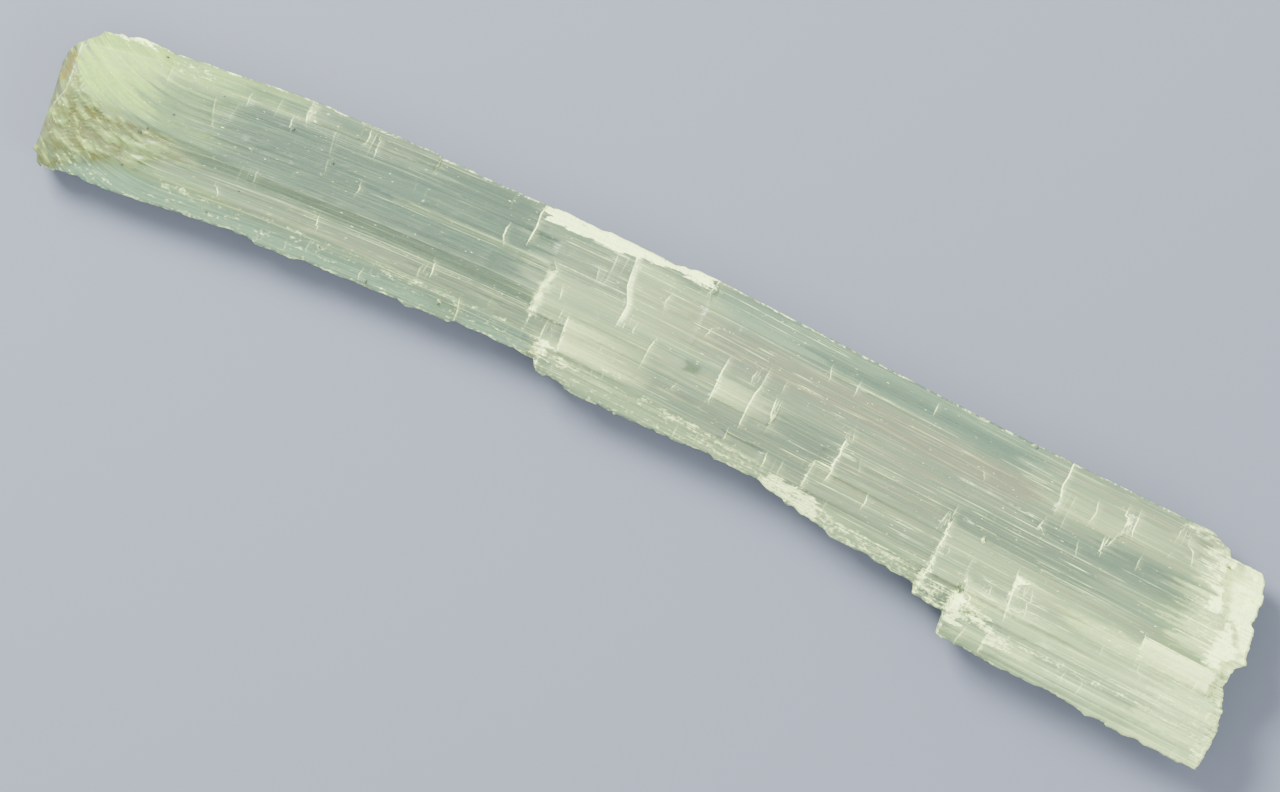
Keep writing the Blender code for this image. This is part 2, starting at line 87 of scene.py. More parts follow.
# %% Outline, as (s, v), and the ends' reach, as (v, s)
UPPER_EDGE = [
    (3.8, 13.4), (4.5, 13.7), (5.5, 13.65), (6.2, 13.45), (8, 14), (9.5, 14.05), (11, 13.9),
    (13.5, 13.65), (14.8, 13.35), (17, 13.5), (18.3, 13.4), (19.5, 13.55), (24, 13.4), (31, 13.65),
    (36, 13.7), (39.8, 13.7), (41, 13.45), (50, 13.3), (57.4, 13.1), (57.8, 12.8), (63, 12.8),
    (64, 12.55), (73, 12.55), (78, 12.75), (84.5, 12.55), (85.3, 12.8), (96.8, 12.7), (97.4, 13.05),
    (98.5, 12.95), (99.5, 13.35), (103, 13.4), (150, 13.15), (170, 13.45), (186.5, 13.72),
    (188.5, 12.95), (190.2, 12.5), (191, 11.45), (196.3, 11.6),
]
LOWER_EDGE = [
    (4.2, -9.35), (5, -9.1), (9, -9.15), (11.5, -9.5), (15, -9.75), (22, -9.5), (26.4, -9.35),
    (26.8, -9.55), (30, -9.4), (35, -9.15), (37.5, -9.35), (38.5, -9.85), (39.5, -10), (44.5, -9.9),
    (46, -9.55), (50, -9.7), (61.5, -9.65), (62.7, -10.15), (64, -9.75), (69.8, -9.7), (70.1, -9.35),
    (80, -9.35), (83.6, -9.45), (84, -10.1), (84.8, -11.05), (89.3, -11.05), (89.8, -11.65),
    (92, -11.75), (97.8, -11.5), (98.2, -11.8), (98.6, -11.5), (105, -11.3), (110, -11.05),
    (112, -10.7), (114, -10.5), (114.3, -11), (118, -10.7), (122, -10.7), (122.8, -11), (124, -11.4),
    (126.6, -11.6), (127, -11.9), (129, -12), (130, -12.35), (133, -12.45), (134, -12.85),
    (136, -13.45), (141, -13.3), (141.3, -13.1), (142.3, -13.2), (143, -13.5), (149, -13.8), (150, -14),
    (150.4, -15.25), (155.6, -15.65), (156, -17), (156.2, -19.1), (159, -19.2), (162, -19.1),
    (167.5, -19.3), (176, -19.05), (180, -19.4), (182, -19.7), (183, -19.45), (184.8, -19.45),
    (185.5, -19.72), (188, -19.72), (191.4, -19.5), (191.8, -19.7), (197, -19.6), (200.2, -19.4),
]
RIGHT_REACH = [
    (-19.4, 200.2), (-17, 200.5), (-13.2, 200.3), (-10.4, 199.9), (-7.6, 198.9), (-6.2, 197.9),
    (-5.8, 198.3), (-3.1, 198.5), (-2, 199.6), (-0.6, 199.2), (3.4, 198.5), (3.8, 197.9), (7, 197.9),
    (10.6, 197.2), (11.6, 196.3),
]
LEFT_REACH = [
    (-9.3, 4.2), (-8.7, 3.4), (-7.5, 3), (-7.1, 1.9), (-5.8, 2.2), (0, 1.4), (7, 0.1), (9, 0.3),
    (10.2, 1.2), (12.4, 3.6), (13.6, 4),
]


def along(points, x, column=1):
    """Straight lines between the points: the value of the given column where the first one is x."""
    table = np.array(points)
    return np.interp(x, table[:, 0], table[:, column])


middle_width = along(UPPER_EDGE, 100.0) - along(LOWER_EDGE, 100.0)
print(f"width at the middle: {middle_width:.1f} mm")

# %% Long edges, as (s, v, drop), from the lower side to the upper one
LOWER_RIM = [
    (0, -9.9, 6.2), (30, -9.9, 5.4), (83.6, -9.9, 5.2), (84.4, -11.5, 4.6), (122, -11.5, 4.8),
    (134, -13.5, 5), (150.2, -14.2, 5), (150.8, -15.7, 4.6), (155.8, -16.1, 4.6), (156.4, -19.7, 4.2),
    (200, -20.1, 3.8),
]
LOWER_BEVEL = [
    (0, -4.6, 2.6), (30, -5.2, 1.9), (80, -5.6, 1.9), (80.5, -5.8, 1.6), (84, -6.6, 1.5),
    (84.6, -7, 0.9), (120, -7.6, 1), (128, -9, 1.3), (150.2, -10.8, 1.5), (150.8, -11.6, 0.8),
    (155.8, -12.2, 0.9), (156.4, -14.4, 0.9), (200, -14.6, 0.7),
]
UNDER_RIDGE = [
    (0, 1.6, 1.1), (22, -1, 0.8), (80, -2.4, 0.9), (80.5, -3, 0.25), (150, -3.2, 0.25),
    (200, -1.4, 0.2),
]
MAIN_RIDGE = [
    (0, 3.6, 0), (12, 2.6, 0), (22, 1.2, 0), (34, 0.2, 0), (80, -0.2, 0), (80.5, -1.2, 0),
    (150, -0.6, 0), (200, 1.6, 0),
]
UPPER_BEVEL = [
    (0, 10.6, 0.6), (14, 11.6, 0.3), (16, 10.4, 0.15), (74.7, 10.1, 0.15), (75.2, 10.6, 0.5),
    (90, 10.5, 0.5), (103, 12.2, 0.4), (103.6, 9.2, 0.1), (162, 9.4, 0.1), (185, 10.8, 0.2),
    (191, 9.4, 1.4), (200, 8.8, 2.6),
]
UPPER_RIM = [
    (0, 13.9, 4.6), (14, 13.9, 3.4), (40, 13.9, 2.8), (74.7, 13.1, 2.6), (75.2, 13.1, 3.8),
    (97, 13.2, 3.4), (103, 13.9, 2.2), (160, 13.7, 2), (185, 14.1, 2.4), (191, 12.9, 4.4),
    (200, 12.3, 5.4),
]
LONG_EDGES = (LOWER_RIM, LOWER_BEVEL, UNDER_RIDGE, MAIN_RIDGE, UPPER_BEVEL, UPPER_RIM)


def plain_faces(s, v):
    """Height of the flat faces: from the lower rim's height, each face adds its rise times the
    share of its width that v has passed, a share kept between 0 and 1."""
    places = [(along(edge, s), THICKNESS - along(edge, s, 2)) for edge in LONG_EDGES]
    height = places[0][1]
    for (v0, z0), (v1, z1) in zip(places, places[1:]):
        height = height + np.clip((v - v0) / (v1 - v0), 0.0, 1.0) * (z1 - z0)
    return height


print(f"height at the middle: {plain_faces(100.0, 5.0):.2f} mm")

# %% [markdown]
# ## Noise that knows the fibres
# Gypsum looks combed because all its roughness is stretched along the fibres. Value noise does
# that simply: random numbers on a lattice, blended smoothly, with a lattice cell that is many
# times longer than it is wide. Near the left end the fibres fan upwards, so the noise is not read
# at v but at the fibre that passes there.

# %% Stretched noise
LATTICE = 256  # random numbers along each side, before they repeat
FAN_STARTS = 22.0  # left of this the fibres curve up
FAN_CURVE = 0.0215  # per mm


def fibre(s, v):
    """The fibre through (s, v): v, less a curve that grows with the square of the distance left of
    where the fan starts."""
    return v - FAN_CURVE * np.clip(FAN_STARTS - s, 0.0, None) ** 2


def noise(x, y, seed):
    """Value noise from -1 to 1: random numbers on whole x and y, blended with the curve
    3t^2 - 2t^3 in between."""
    table = np.random.default_rng(seed).uniform(-1.0, 1.0, (LATTICE + 1, LATTICE + 1))
    xi, yi = np.floor(x).astype(int), np.floor(y).astype(int)
    fx, fy = x - xi, y - yi
    fx, fy = fx * fx * (3 - 2 * fx), fy * fy * (3 - 2 * fy)
    xi, yi = xi % LATTICE, yi % LATTICE
    low = table[xi, yi] * (1 - fx) + table[xi + 1, yi] * fx
    high = table[xi, yi + 1] * (1 - fx) + table[xi + 1, yi + 1] * fx
    return low * (1 - fy) + high * fy


def combed(s, t, length, width, seed):
    """Noise with cells of the given length along the fibres and the given width across them."""
    return noise(s / length + 7.3 * seed, t / width + 3.1 * seed, seed)


def step(x, low, high):
    """0 below low and 1 above high, with the curve 3t^2 - 2t^3 in between."""
    t = np.clip((x - low) / (high - low), 0.0, 1.0)
    return t * t * (3 - 2 * t)


def rise_fall(x, a, b, c, d):
    """0 before a, rising to 1 at b, and falling from c to 0 at d."""
    return step(x, a, b) * (1 - step(x, c, d))


def within(x, low, high, soft):
    """1 between low and high and 0 outside, with a step as wide as twice soft across each."""
    return rise_fall(x, low - soft, low + soft, high - soft, high + soft)


sample = combed(np.linspace(0, 200, 500), 5.0, 30.0, 0.5, 1)
print(f"combed noise from {sample.min():.2f} to {sample.max():.2f}")

# %% [markdown]
# ## Laths and their broken ends
# A blade never cleaves in one plane. Thin laths of fibres stand a little proud, thick where they
# snapped and feathering out to nothing at the other end. Each one is a slanting sheet on the plain
# faces, cut off by a ragged line. The large ones are listed one by one; hundreds of hair-thin ones
# are scattered with a seeded generator, because nobody would miss one, but everybody would miss
# them all.

# %% Large laths: (s left, s right, v low, v high, rise left, rise right, lean of the ends, paleness)
LATHS = [
    (80.1, 112, -3, 4.1, 0.55, 0.02, -0.9, 0.25), (85.8, 101, -7, -1.7, 0.6, 0.05, 0.3, 0.85),
    (109.8, 119.7, -2.7, 0.9, 0.4, 0.35, 0.1, 0.6), (131, 152, -5, 0.5, 0.6, 0.05, 0.2, 0),
    (128.1, 151.5, -8.8, -4.4, 0.55, 0.05, 0.3, 0.1), (150.7, 188, -11.2, -3.2, 0.75, 0.05, 0.4, 0.2),
    (156.8, 182, -13.6, -9.3, 0.8, 0.05, 0.6, 0.45), (163.4, 178, -11.4, -5.6, 0.9, 0.05, -0.8, 0.4),
    (163.1, 199, -18.2, -14.7, 0.55, 0.05, 0.1, 0.35), (184.5, 196.6, -8.6, -5.1, 0.35, 0.7, 0.2, 1.6),
    (163.3, 174, 5.6, 9, 0.3, 0.4, 0.4, 0.25), (174.1, 189, 7, 10.4, 0.45, 0.05, 0.5, 0.25),
    (37.2, 57.8, 10.6, 12.7, 0.7, 0.6, 0.3, 0), (124.2, 146, 8.5, 9.1, 0.25, 0.05, 0, 0.2),
    (54, 79.8, 3.8, 4.9, 0.04, 0.3, 0, 0.22), (91.9, 108, 1, 10.8, 0.14, 0.02, 1.5, 0.3),
    (75.1, 90, 6.6, 9.6, 0.2, 0.05, 0.3, 0), (162.6, 182, 2.4, 3.6, -0.22, -0.05, 0.1, 0),
]
RAGGED = 0.28  # how far the teeth of a broken end stand in or out
SIDE_WALL, END_WALL = 0.08, 0.12  # half widths of a lath's walls


def lath(s, v, size, seed):
    """(rise, inside, how far right of its left end) of one lath. Rise runs straight from its left
    value to its right one, between two lines that noise makes ragged, and is nothing outside."""
    s0, s1, v0, v1, rise0, rise1, lean = size[:7]
    share = np.clip((v - v0) / (v1 - v0), 0.0, 1.0)
    teeth = RAGGED * (noise(v / 0.9, 0.0 * v, seed) + 0.5 * noise(v / 0.35, 0.0 * v, seed + 1))
    left = s0 + lean * (0.5 - share) + teeth
    right = s1 - lean * (0.5 - share) + teeth
    inside = within(v, v0, v1, SIDE_WALL) * within(s, left, right, END_WALL)
    past = np.clip((s - left) / (right - left), 0.0, 1.0)
    return inside * (rise0 + (rise1 - rise0) * past), inside, past


print(len(LATHS), "large laths")

# %% Small laths, scattered
SMALL_LATHS = 330
chance = np.random.default_rng(64)


def anywhere(left, right, margin):
    """A random (s, v) between left and right, at least the margin inside the long edges."""
    s = chance.uniform(left, right)
    return s, chance.uniform(along(LOWER_EDGE, s) + margin, along(UPPER_EDGE, s) - margin)


def scattered_laths():
    """Sizes of the small laths, in the same form as the large ones."""
    sizes = []
    for _ in range(SMALL_LATHS):
        s0, v0 = anywhere(22, 194, 1.5)
        long, wide = 1.5 + chance.exponential(7.0), 0.25 + chance.exponential(0.5)
        rise, other = chance.uniform(0.03, 0.13), chance.uniform(0.0, 0.03)
        ends = (rise, other) if chance.random() < 0.6 else (other, rise)
        sizes.append((s0, min(s0 + long, 197.0), v0, v0 + wide, *ends, 0.0))
    return sizes


small_laths = scattered_laths()
print(len(small_laths), "small laths")

# %% [markdown]
# ## Pits, splits and snapped tips
# Where a lath is missing there is a pit. The ends of the blade are splits: planes that cut the
# faces off aslant. At the right end the top layer has snapped earlier than the rest, each bundle
# of fibres at its own length, which makes the steps there.

# %% Pits, as (s left, s right, v low, v high, depth)
PITS = [
    (104.2, 106.7, -1.2, 0.7, 0.05), (75.4, 79.6, 6.6, 8.4, 0.22), (98.3, 103.2, -2.6, 0.6, 0.12),
    (24, 27, 5.6, 8.6, 0.1), (114, 121, -8.2, -6.4, 0.45), (128.3, 131, -4.1, -1.9, 0.25),
]


def pit_depth(s, v):
    """Sum of the pits: each is its depth inside its box, with steep walls on three sides and a right
    one that rises over one and a half millimetres."""
    depth = 0.0 * s
    for s0, s1, v0, v1, deep in PITS:
        along_it = rise_fall(s, s0 - 0.1, s0 + 0.15, s1 - 1.2, s1 + 0.3)
        across_it = rise_fall(v, v0 - 0.1, v0 + 0.12, v1 - 0.12, v1 + 0.1)
        depth = depth + deep * along_it * across_it
    return depth


print(len(PITS), "pits, the deepest", max(pit[-1] for pit in PITS), "mm")

# %% Splits, as (point, direction of the waste)
SPLITS = [
    ((2, 10, 12), (-0.93, -0.13, 0.36)), ((4, 3.6, 12), (-0.24, -0.3, 0.92)),
    ((5.2, 13.2, 10.3), (-0.35, 0.62, 0.7)), ((189.4, 11.8, 11), (0.46, 0.46, 0.76)),
]


def split_height(s, v):
    """The lowest of the split planes over (s, v): at the plane's own point, plus the slope that
    its direction gives, roughened by noise."""
    lowest = 0.0 * s + 2 * THICKNESS
    for k, ((s0, v0, z0), (ds, dv, dz)) in enumerate(SPLITS):
        rough = 0.16 * noise(s / 0.9, v / 0.9, 40 + k) + 0.08 * noise(s / 0.4, v / 0.4, 50 + k)
        lowest = np.minimum(lowest, z0 - (ds * (s - s0) + dv * (v - v0)) / dz + rough)
    return lowest


print(len(SPLITS), "splits")

# %% Where the top layer ends, as (v, s, depth)
TOP_LAYER_END = [
    (-19, 199.6, 0.5), (-9.4, 199.2, 0.8), (-9.2, 197, 1.1), (-2.4, 196.6, 1.5), (-2.2, 197.4, 0.9),
    (1, 196.6, 0.9), (4.2, 193.2, 1.5), (4.6, 192.2, 1.6), (14, 190.6, 1.8),
]
BUNDLE = 1.45  # width of the bundles that snap together
BUNDLES = 64  # with numbers of their own, before they repeat
bundle_chance = np.random.default_rng(20).uniform(-1.0, 1.0, (4, BUNDLES))


def strip(x, count=BUNDLES):
    """The whole number below x, starting again from nought at every count."""
    return np.floor(x).astype(int) % count


def snapped(s, v):
    """(fall, end) of the top layer. Each bundle has its own end; past it the face falls by the
    layer's depth and then by up to a fifth of a millimetre for each one further."""
    bundle, fine = strip(v / BUNDLE + 0.25 * noise(s / 3.0, v, 60)), strip(v / 0.45)
    end = along(TOP_LAYER_END, v) + 0.9 * bundle_chance[0][bundle] + 0.5 * bundle_chance[1][fine]
    depth = along(TOP_LAYER_END, v, 2) + 0.25 * bundle_chance[2][bundle]
    slope = 0.1 + 0.1 * bundle_chance[3][bundle]
    past = s - end
    return step(past, -0.2, 0.7) * (depth + slope * np.clip(past, 0, None)), end


print(f"the top layer ends at s = {snapped(0.0, 0.0)[1]:.1f} mm where v is 0")

# %% [markdown]
# ## The brown fracture
# At the left end the blade tore instead of cleaving. The tear left long thin shards that lie along
# the fanned fibres, pale where they lift off and brown between them. The brown is the stain of the
# torn end, darkened as painted shade in the hollows, and the pale is partly painted highlight on the
# raised shards. Three noises, long along the fibres and narrow across them, are cut off at a level
# to leave the shards standing.

# %% Where the fracture is, and its shards
def fracture(s, v):
    """Share of the fracture, 0 to 1: below a line whose height above a gentle slope shrinks by e for
    every 3 mm, above one that rises by 0.38 mm in each mm, and fading out from s = 13 to s = 30."""
    wander = 0.9 * noise(s / 2.5, v / 2.5, 70)
    upper = 1.0 + 4.0 * np.exp((3.5 - s) / 3.0) + 0.06 * (20.0 - s) + 0.6 * wander
    lower = -9.6 + 0.38 * np.clip(s - 5.0, 0.0, None) + wander
    inside = rise_fall(v, lower - 0.8, lower + 1.6, upper - 0.8, upper + 0.4)
    return inside * (1 - step(s + 3 * wander, 13.0, 30.0))


def shards(s, v):
    """(height, paleness) of the shards: how far three combed noises rise above a level, for broad
    flakes, for shards and for splinters."""
    t = fibre(s, v)
    broad = combed(s, t, 2.8, 1.1, 75) + 0.35 * combed(s, t, 0.9, 0.35, 76)
    large = combed(s, t, 2.0, 0.42, 71) + 0.45 * combed(s, t, 0.9, 0.25, 72)
    small = combed(s, t, 0.9, 0.24, 73) + 0.3 * combed(s, t, 0.5, 0.2, 74)
    height = 0.25 * step(broad, 0.1, 0.45) + 0.25 * step(large, 0.0, 0.6) + 0.16 * step(small, 0.0, 0.6)
    pale = np.maximum(0.8 * step(broad, 0.12, 0.4), 0.9 * step(large, 0.25, 0.65))
    worn = 1.0 - 0.7 * step(8.5 - s, 0.0, 3.5) * step(-2.0 - v, 0.0, 3.0)
    return height * worn, np.maximum(pale, 0.7 * step(small, 0.35, 0.75)) * worn


print(f"fracture at (8, 0): {fracture(8.0, 0.0):.2f}")

# %% [markdown]
# ## Cracks and bright fibres
# Cracks run across the fibres and show as thin white lines, because light scatters in the gap.
# They are thinner than any mesh could be. So the mesh only stores how far each of its points is
# from the nearest line, with a sign for the side, and the material draws the line where that
# distance is nought. A distance changes evenly, so the line stays crisp between the points.
# Single bright fibres are done the same way, with the distance across them.

# %% Cracks, as (strength, s, v, s, v and so on from point to point)
CRACKS = [
    (0.35, 2.1, 10, 2.6, 6.5, 3, 3), (0.3, 3, 3, 2.1, 0.5), (0.5, 36.8, 13.3, 36.8, 11.5, 37.1, 10.6),
    (0.39, 32.5, 11.4, 32.6, 10.2), (0.6, 46.7, 11.8, 46.7, 10.3), (0.7, 48.4, 11.3, 48.5, 10),
    (0.28, 23.8, 8, 24.3, 6.5, 24.9, 5.1), (0.22, 27, 8.6, 26.8, 6.8), (0.28, 28, 10.8, 28.1, 10.2),
    (0.5, 15.8, 10.7, 15.9, 9.3), (0.39, 35.2, 9.7, 35.4, 9), (0.17, 41.9, 9.8, 42.6, 6.6, 43, 4.8),
    (0.5, 48.9, 3.9, 48.9, 3.2), (0.28, 34.1, 0.2, 34.3, -0.7), (0.7, 71.2, 6.9, 71.3, 5.6, 71.6, 5),
    (0.8, 75, 12.3, 74.8, 10.9, 75.1, 9, 75, 6.6), (0.7, 64, -2.4, 64.2, -3.5),
    (0.5, 69.8, -6.1, 70.2, -7.6, 70.3, -9.1), (0.7, 80.3, 4.8, 80.9, 4.1, 80, 3.6),
    (0.3, 79.8, 3.4, 79.9, 0.5, 80.1, -1.8, 80.9, -3.1), (0.5, 83, -3.2, 83, -5.5),
    (0.7, 85.6, -1.9, 85.8, -4.5, 86.2, -6.4), (0.3, 88, 9.5, 88.1, 6),
    (3.2, 90.6, 11.2, 90.9, 9, 91.3, 6.5, 92.1, 5, 92.6, 3.8, 92.5, 1.4),
    (0.6, 98.6, 0.7, 98.4, -0.2, 98.4, -3), (0.6, 97.6, 7.8, 97.4, 6.9, 97.6, 6.2),
    (0.5, 86.4, 6.7, 86.6, 5.8), (0.8, 103.2, 13.2, 103, 12.2, 102.7, 11.2),
    (0.7, 109.8, 3.4, 109.7, 1.5, 109.9, -2.9),
    (0.8, 116, 4.2, 115.9, 1.8, 115.6, 0.8, 115.5, -1.5, 115.6, -4.2),
    (0.6, 118.9, 0.9, 119.1, -0.8, 119.8, -2.3), (0.7, 121.4, -7.2, 121.5, -8.4),
    (0.5, 124.2, 9, 124.4, 8.4), (0.5, 128.9, 8.7, 128.9, 8.1),
    (0.8, 130.9, 0.5, 130.9, -0.8, 131.1, -1.6, 130.8, -2.7, 131.1, -4.6, 130.9, -5.7),
    (0.8, 130.8, -4, 128.2, -4, 128.1, -6, 128, -8.5), (0.7, 137.7, -5.8, 137.7, -6.5),
    (0.9, 150.6, -3, 150.4, -4.5, 150.7, -5.2, 150.5, -7, 150.7, -10, 150.5, -12),
    (0.5, 149.4, -2.3, 149.3, -3.3), (0.9, 163, 13.1, 163.1, 11, 162.9, 9.6, 163.5, 7.5, 163.6, 5.7),
    (0.7, 162.7, 3.3, 162.5, 2.5), (0.3, 165.4, 8, 165.4, 4.5), (0.6, 169, 9.1, 169.2, 8, 169, 6.9),
    (0.6, 173.3, 10.8, 173.3, 9.8, 174, 9.7, 174, 8, 173.9, 7.3), (0.7, 175.2, 10.8, 175.3, 8),
    (0.7, 173.6, 6.9, 173.4, 5.9, 173.1, 5.1), (0.7, 172.1, 5, 172.3, 3.6),
    (0.6, 178.2, 4.7, 178.2, 4.2), (0.6, 183.5, 11, 183.7, 10.1, 184.8, 9.6, 185.3, 8.2),
    (1, 163, -5.6, 163.5, -8.5, 164, -11.8), (0.7, 163, -5.6, 165.4, -5.6),
    (0.35, 166.3, -7.2, 166.5, -8.3), (0.4, 166.3, -9, 166.6, -10.5), (0.3, 164.9, -6.9, 165.1, -7.6),
    (0.4, 157.2, -10.2, 160, -10.6, 165.8, -10.4),
    (0.8, 156.4, -9.2, 156.8, -10.2, 156.9, -11.2, 158.2, -11.6, 158.3, -12.8),
    (0.6, 163.2, -14.5, 163, -18.2), (0.5, 159.7, -16.5, 159.3, -18.3),
    (0.5, 179.1, -15.6, 179.1, -16.8), (0.6, 184.3, -5.3, 184.5, -6.4), (0.5, 185.3, -8.9, 185.5, -10),
    (0.6, 194.3, -7, 194.2, -8.4), (0.6, 196.3, -5.5, 196.4, -8.4), (0.6, 196, -18.2, 195.9, -19.2),
    (0.4, 119.7, 0.9, 119.8, -0.4, 119.6, -2.7), (0.5, 196.5, -5.1, 196.7, -6.9, 196.5, -8.6),
    (0.3, 57.8, 12.6, 57.7, 10.6),
]
TINY_CRACKS = 60
CLEAR_ENDS = 78.0  # left of this the upper half is clear, and has few small marks
for _ in range(TINY_CRACKS):
    s0, v0 = anywhere(24, 192, 1.0)
    down, aside = 0.15 + chance.exponential(0.3), chance.normal(0.0, 0.08)
    strong = chance.uniform(0.2, 0.6) * (0.15 if s0 < CLEAR_ENDS and v0 > -2.4 else 1.0)
    CRACKS.append((strong, s0, v0, s0 + aside, v0 - down))
print(len(CRACKS), "cracks")

# %% Bright fibres, as (s left, s right, v, strength)
SMALL_FIBRES = 150
BRIGHT_FIBRES = [
    (56, 80, 4.65, 0.4), (50, 80.5, 3.75, 0.35), (17, 80, 0.15, 0.2), (36, 80, -2.35, 0.3),
    (40, 83, -3, 0.35), (134, 153, -1.4, 0.5), (131, 134, -1.2, 0.8), (151, 158, -1.7, 0.6),
    (148, 162.6, 3.3, 0.5), (163, 165.5, -5.6, 0.9), (167, 173, -0.5, 0.8), (180, 187, -0.8, 0.5),
    (187, 195, -1.85, 1.2), (187, 198, 0.55, 1.3), (184, 196, -5, 1.3), (165, 178, -3.2, 0.5),
    (162, 171, -5.85, 0.5), (166, 175, -9.6, 0.6), (158, 170, -8.4, 0.6), (184.5, 196.4, -8.6, 0.7),
    (128.2, 130.8, -4, 0.8), (157, 166, -10.5, 0.6), (86, 112, 4.1, 0.4), (103, 146, 8.7, 0.3),
    (186, 199, 3.1, 0.8), (188, 198, 1.6, 0.8), (189, 198, 2.3, 0.7), (190, 199, -0.5, 0.8),
    (186, 197, -3.6, 0.6), (176, 196, -9, 0.5), (189, 199, 4.4, 0.6), (191, 197, 7.2, 0.5),
    (163, 199, -17.6, 0.5), (170, 199, -12.9, 0.4), (163, 190, -14.5, 0.6), (172, 198, -16.3, 0.5),
]
for _ in range(SMALL_FIBRES):
    s0, v0 = anywhere(16, 190, 0.6)
    strong = chance.uniform(0.15, 0.6) * (0.35 if s0 < CLEAR_ENDS and v0 > -2.4 else 1.0)
    BRIGHT_FIBRES.append((s0, s0 + 2 + chance.exponential(9.0), v0, strong))
print(len(BRIGHT_FIBRES), "bright fibres")

# %% How far each point is from the nearest line
LINE_REACH = 1.6  # mm over which a distance is kept


def to_segment(s, v, start, end):
    """Signed distance from (s, v) to a segment: the distance to its nearest point, negative left of
    it."""
    ds, dv = end[0] - start[0], end[1] - start[1]
    t = np.clip(((s - start[0]) * ds + (v - start[1]) * dv) / (ds * ds + dv * dv), 0.0, 1.0)
    away = np.hypot(s - start[0] - t * ds, v - start[1] - t * dv)
    return np.where((s - start[0]) * dv - (v - start[1]) * ds > 0, -away, away)


def nearer(found, away, strength):
    """The pair (distance, strength) of whichever line is nearer, point by point."""
    closer = (np.abs(away) < np.abs(found[0])) & (strength > 0.02)
    return np.where(closer, away, found[0]), np.where(closer, strength, found[1])


def crack_lines(s, v):
    """(distance, strength) of the nearest crack. The strength fades out over the reach, so a change
    of nearest line is never seen."""
    found = (0.0 * s + LINE_REACH, 0.0 * s)
    for strength, *numbers in CRACKS:
        points = list(zip(numbers[::2], numbers[1::2]))
        for start, end in zip(points, points[1:]):
            away = to_segment(s, v, start, end)
            found = nearer(found, away, np.where(np.abs(away) < LINE_REACH, strength, 0.0))
    fade = 1 - step(np.abs(found[0]), 0.3 * LINE_REACH, 0.97 * LINE_REACH)
    return np.clip(found[0], -LINE_REACH, LINE_REACH), found[1] * fade


def fibre_lines(s, v):
    """(distance, strength) of the nearest bright fibre, which fades in and out over 1.5 mm."""
    found = (0.0 * s + LINE_REACH, 0.0 * s)
    t = fibre(s, v) + 0.12 * noise(s / 9.0, 0.0 * s, 90)
    for s0, s1, v0, strength in BRIGHT_FIBRES:
        along_it = rise_fall(s, s0, s0 + 1.5, s1 - 1.5, s1)
        found = nearer(found, t - v0, np.where(np.abs(t - v0) < 0.5, strength * along_it, 0.0))
    return np.clip(found[0], -0.5, 0.5), found[1] * (1 - step(np.abs(found[0]), 0.3, 0.48))


print(f"1 mm above a line along s: {to_segment(5.0, 1.0, (0.0, 0.0), (9.0, 0.0)):.1f} mm from it")

# %% [markdown]
# ## Where the crystal is frosted, clear or tinted
# The blade is one mineral, but light makes many things of it. Where it is crushed or splintered it
# is white frost, grainy on the faces and streaked at the ends. Where it is whole it is clear, and
# looks cool and grey because you see into it. Its darkest patches are painted shade: where nothing
# behind it sends light back, under the main ridge, along the upper bevel and in pits.
# In between it is milky, with a warm cast where thin layers have parted, a pale one where they have
# lifted and an icy one along the thin edges. The left end is weathered to cream, and water has left
# a brown stain and a spot of rust there. Each of these is a mask: soft patches listed one by one,
# pushed about by noise that is stretched along the fibres, so that no patch shows its outline. A few
# have a crisp outline, where one layer ends at a crack, so they are pushed and softened much less.

# %% Patches of frost
# Each is (s left, s right, low v, high v, strength), or has two lows and two highs, left then right.
FROST = [
    (75.2, 89.5, 10.5, 10.4, 14, 14, 1.1), (88, 98, 10.9, 12.2, 14, 14.5, 1),
    (97, 103.3, 11.5, 11.6, 14, 14, 0.9), (58, 72, -6.8, -6.6, -5.8, -5.7, 0.5),
    (61.5, 64, -7, -6, 0.5), (82.5, 86, -9.4, -9.2, -6.2, -6, 0.8),
    (85, 92, -8.8, -8.9, -7.5, -7.4, 0.6), (93, 97, -6.5, -5.5, 0.45),
    (100, 106, -8, -8, -7.2, -7.1, 0.6), (104, 112, -9, -9, -7, -7.2, 0.6),
    (108, 120, -10, -10.2, -7.5, -7.8, 0.45), (118, 124, -10.4, -10.4, -9, -9.2, 0.4),
    (122, 133, -11.2, -12.6, -8.6, -9.6, 0.9), (132, 150, -13.6, -14.4, -10.4, -11, 0.5),
    (150.2, 152, -15, -5, 0.5), (150.5, 156, -16, -16, -11.5, -12, 0.6),
    (155.2, 158.8, -16.8, -16.4, -12, -11.8, 0.9), (158, 163.2, -15.2, -15, -12.2, -13, 0.72),
    (163, 200, -15.2, -15.4, -14.2, -14.2, 0.5), (3, 9, 9.5, 14.5, 0.2), (4, 12, 13, 12.9, 15, 15, 0.8),
    (20, 32, -6.3, -6.4, -5, -5.1, 0.4), (36, 40, -5.2, -4.6, 0.45),
    (37, 50, -9.5, -9.5, -6, -6.4, 0.35), (16, 22, 10.5, 13, 0.4), (37.5, 40, 10.5, 13.2, 0.4),
    (20, 83, -10, -10, -4.9, -5.6, 0.3), (84, 123, -12, -12, -7.4, -7.8, 0.34),
    (5.5, 14.5, -8.8, -9, -5.4, -6.2, 0.36), (193.5, 203, -4.8, 3.2, 0.9), (190.5, 203, 3, 11.5, 1.1),
]
STREAKED_FROST = [
    (187.5, 192, 6, 15, 1), (181, 188, 11.6, 11, 15, 15, 0.6), (190, 203, 3.6, 13, 1),
    (186, 197, -2.5, -3, 4, 8, 0.36), (186, 203, -18, -9, 0.35), (194.5, 203, -5, 4.5, 1),
    (196, 203, -9.5, -4, 0.6), (198, 204, -21, -6, 0.6), (176, 196, -9.6, -9.4, -5, -5, 0.35),
    (118, 160, 2.6, 3.4, 0.3),
]
print(len(FROST) + len(STREAKED_FROST), "patches of frost")

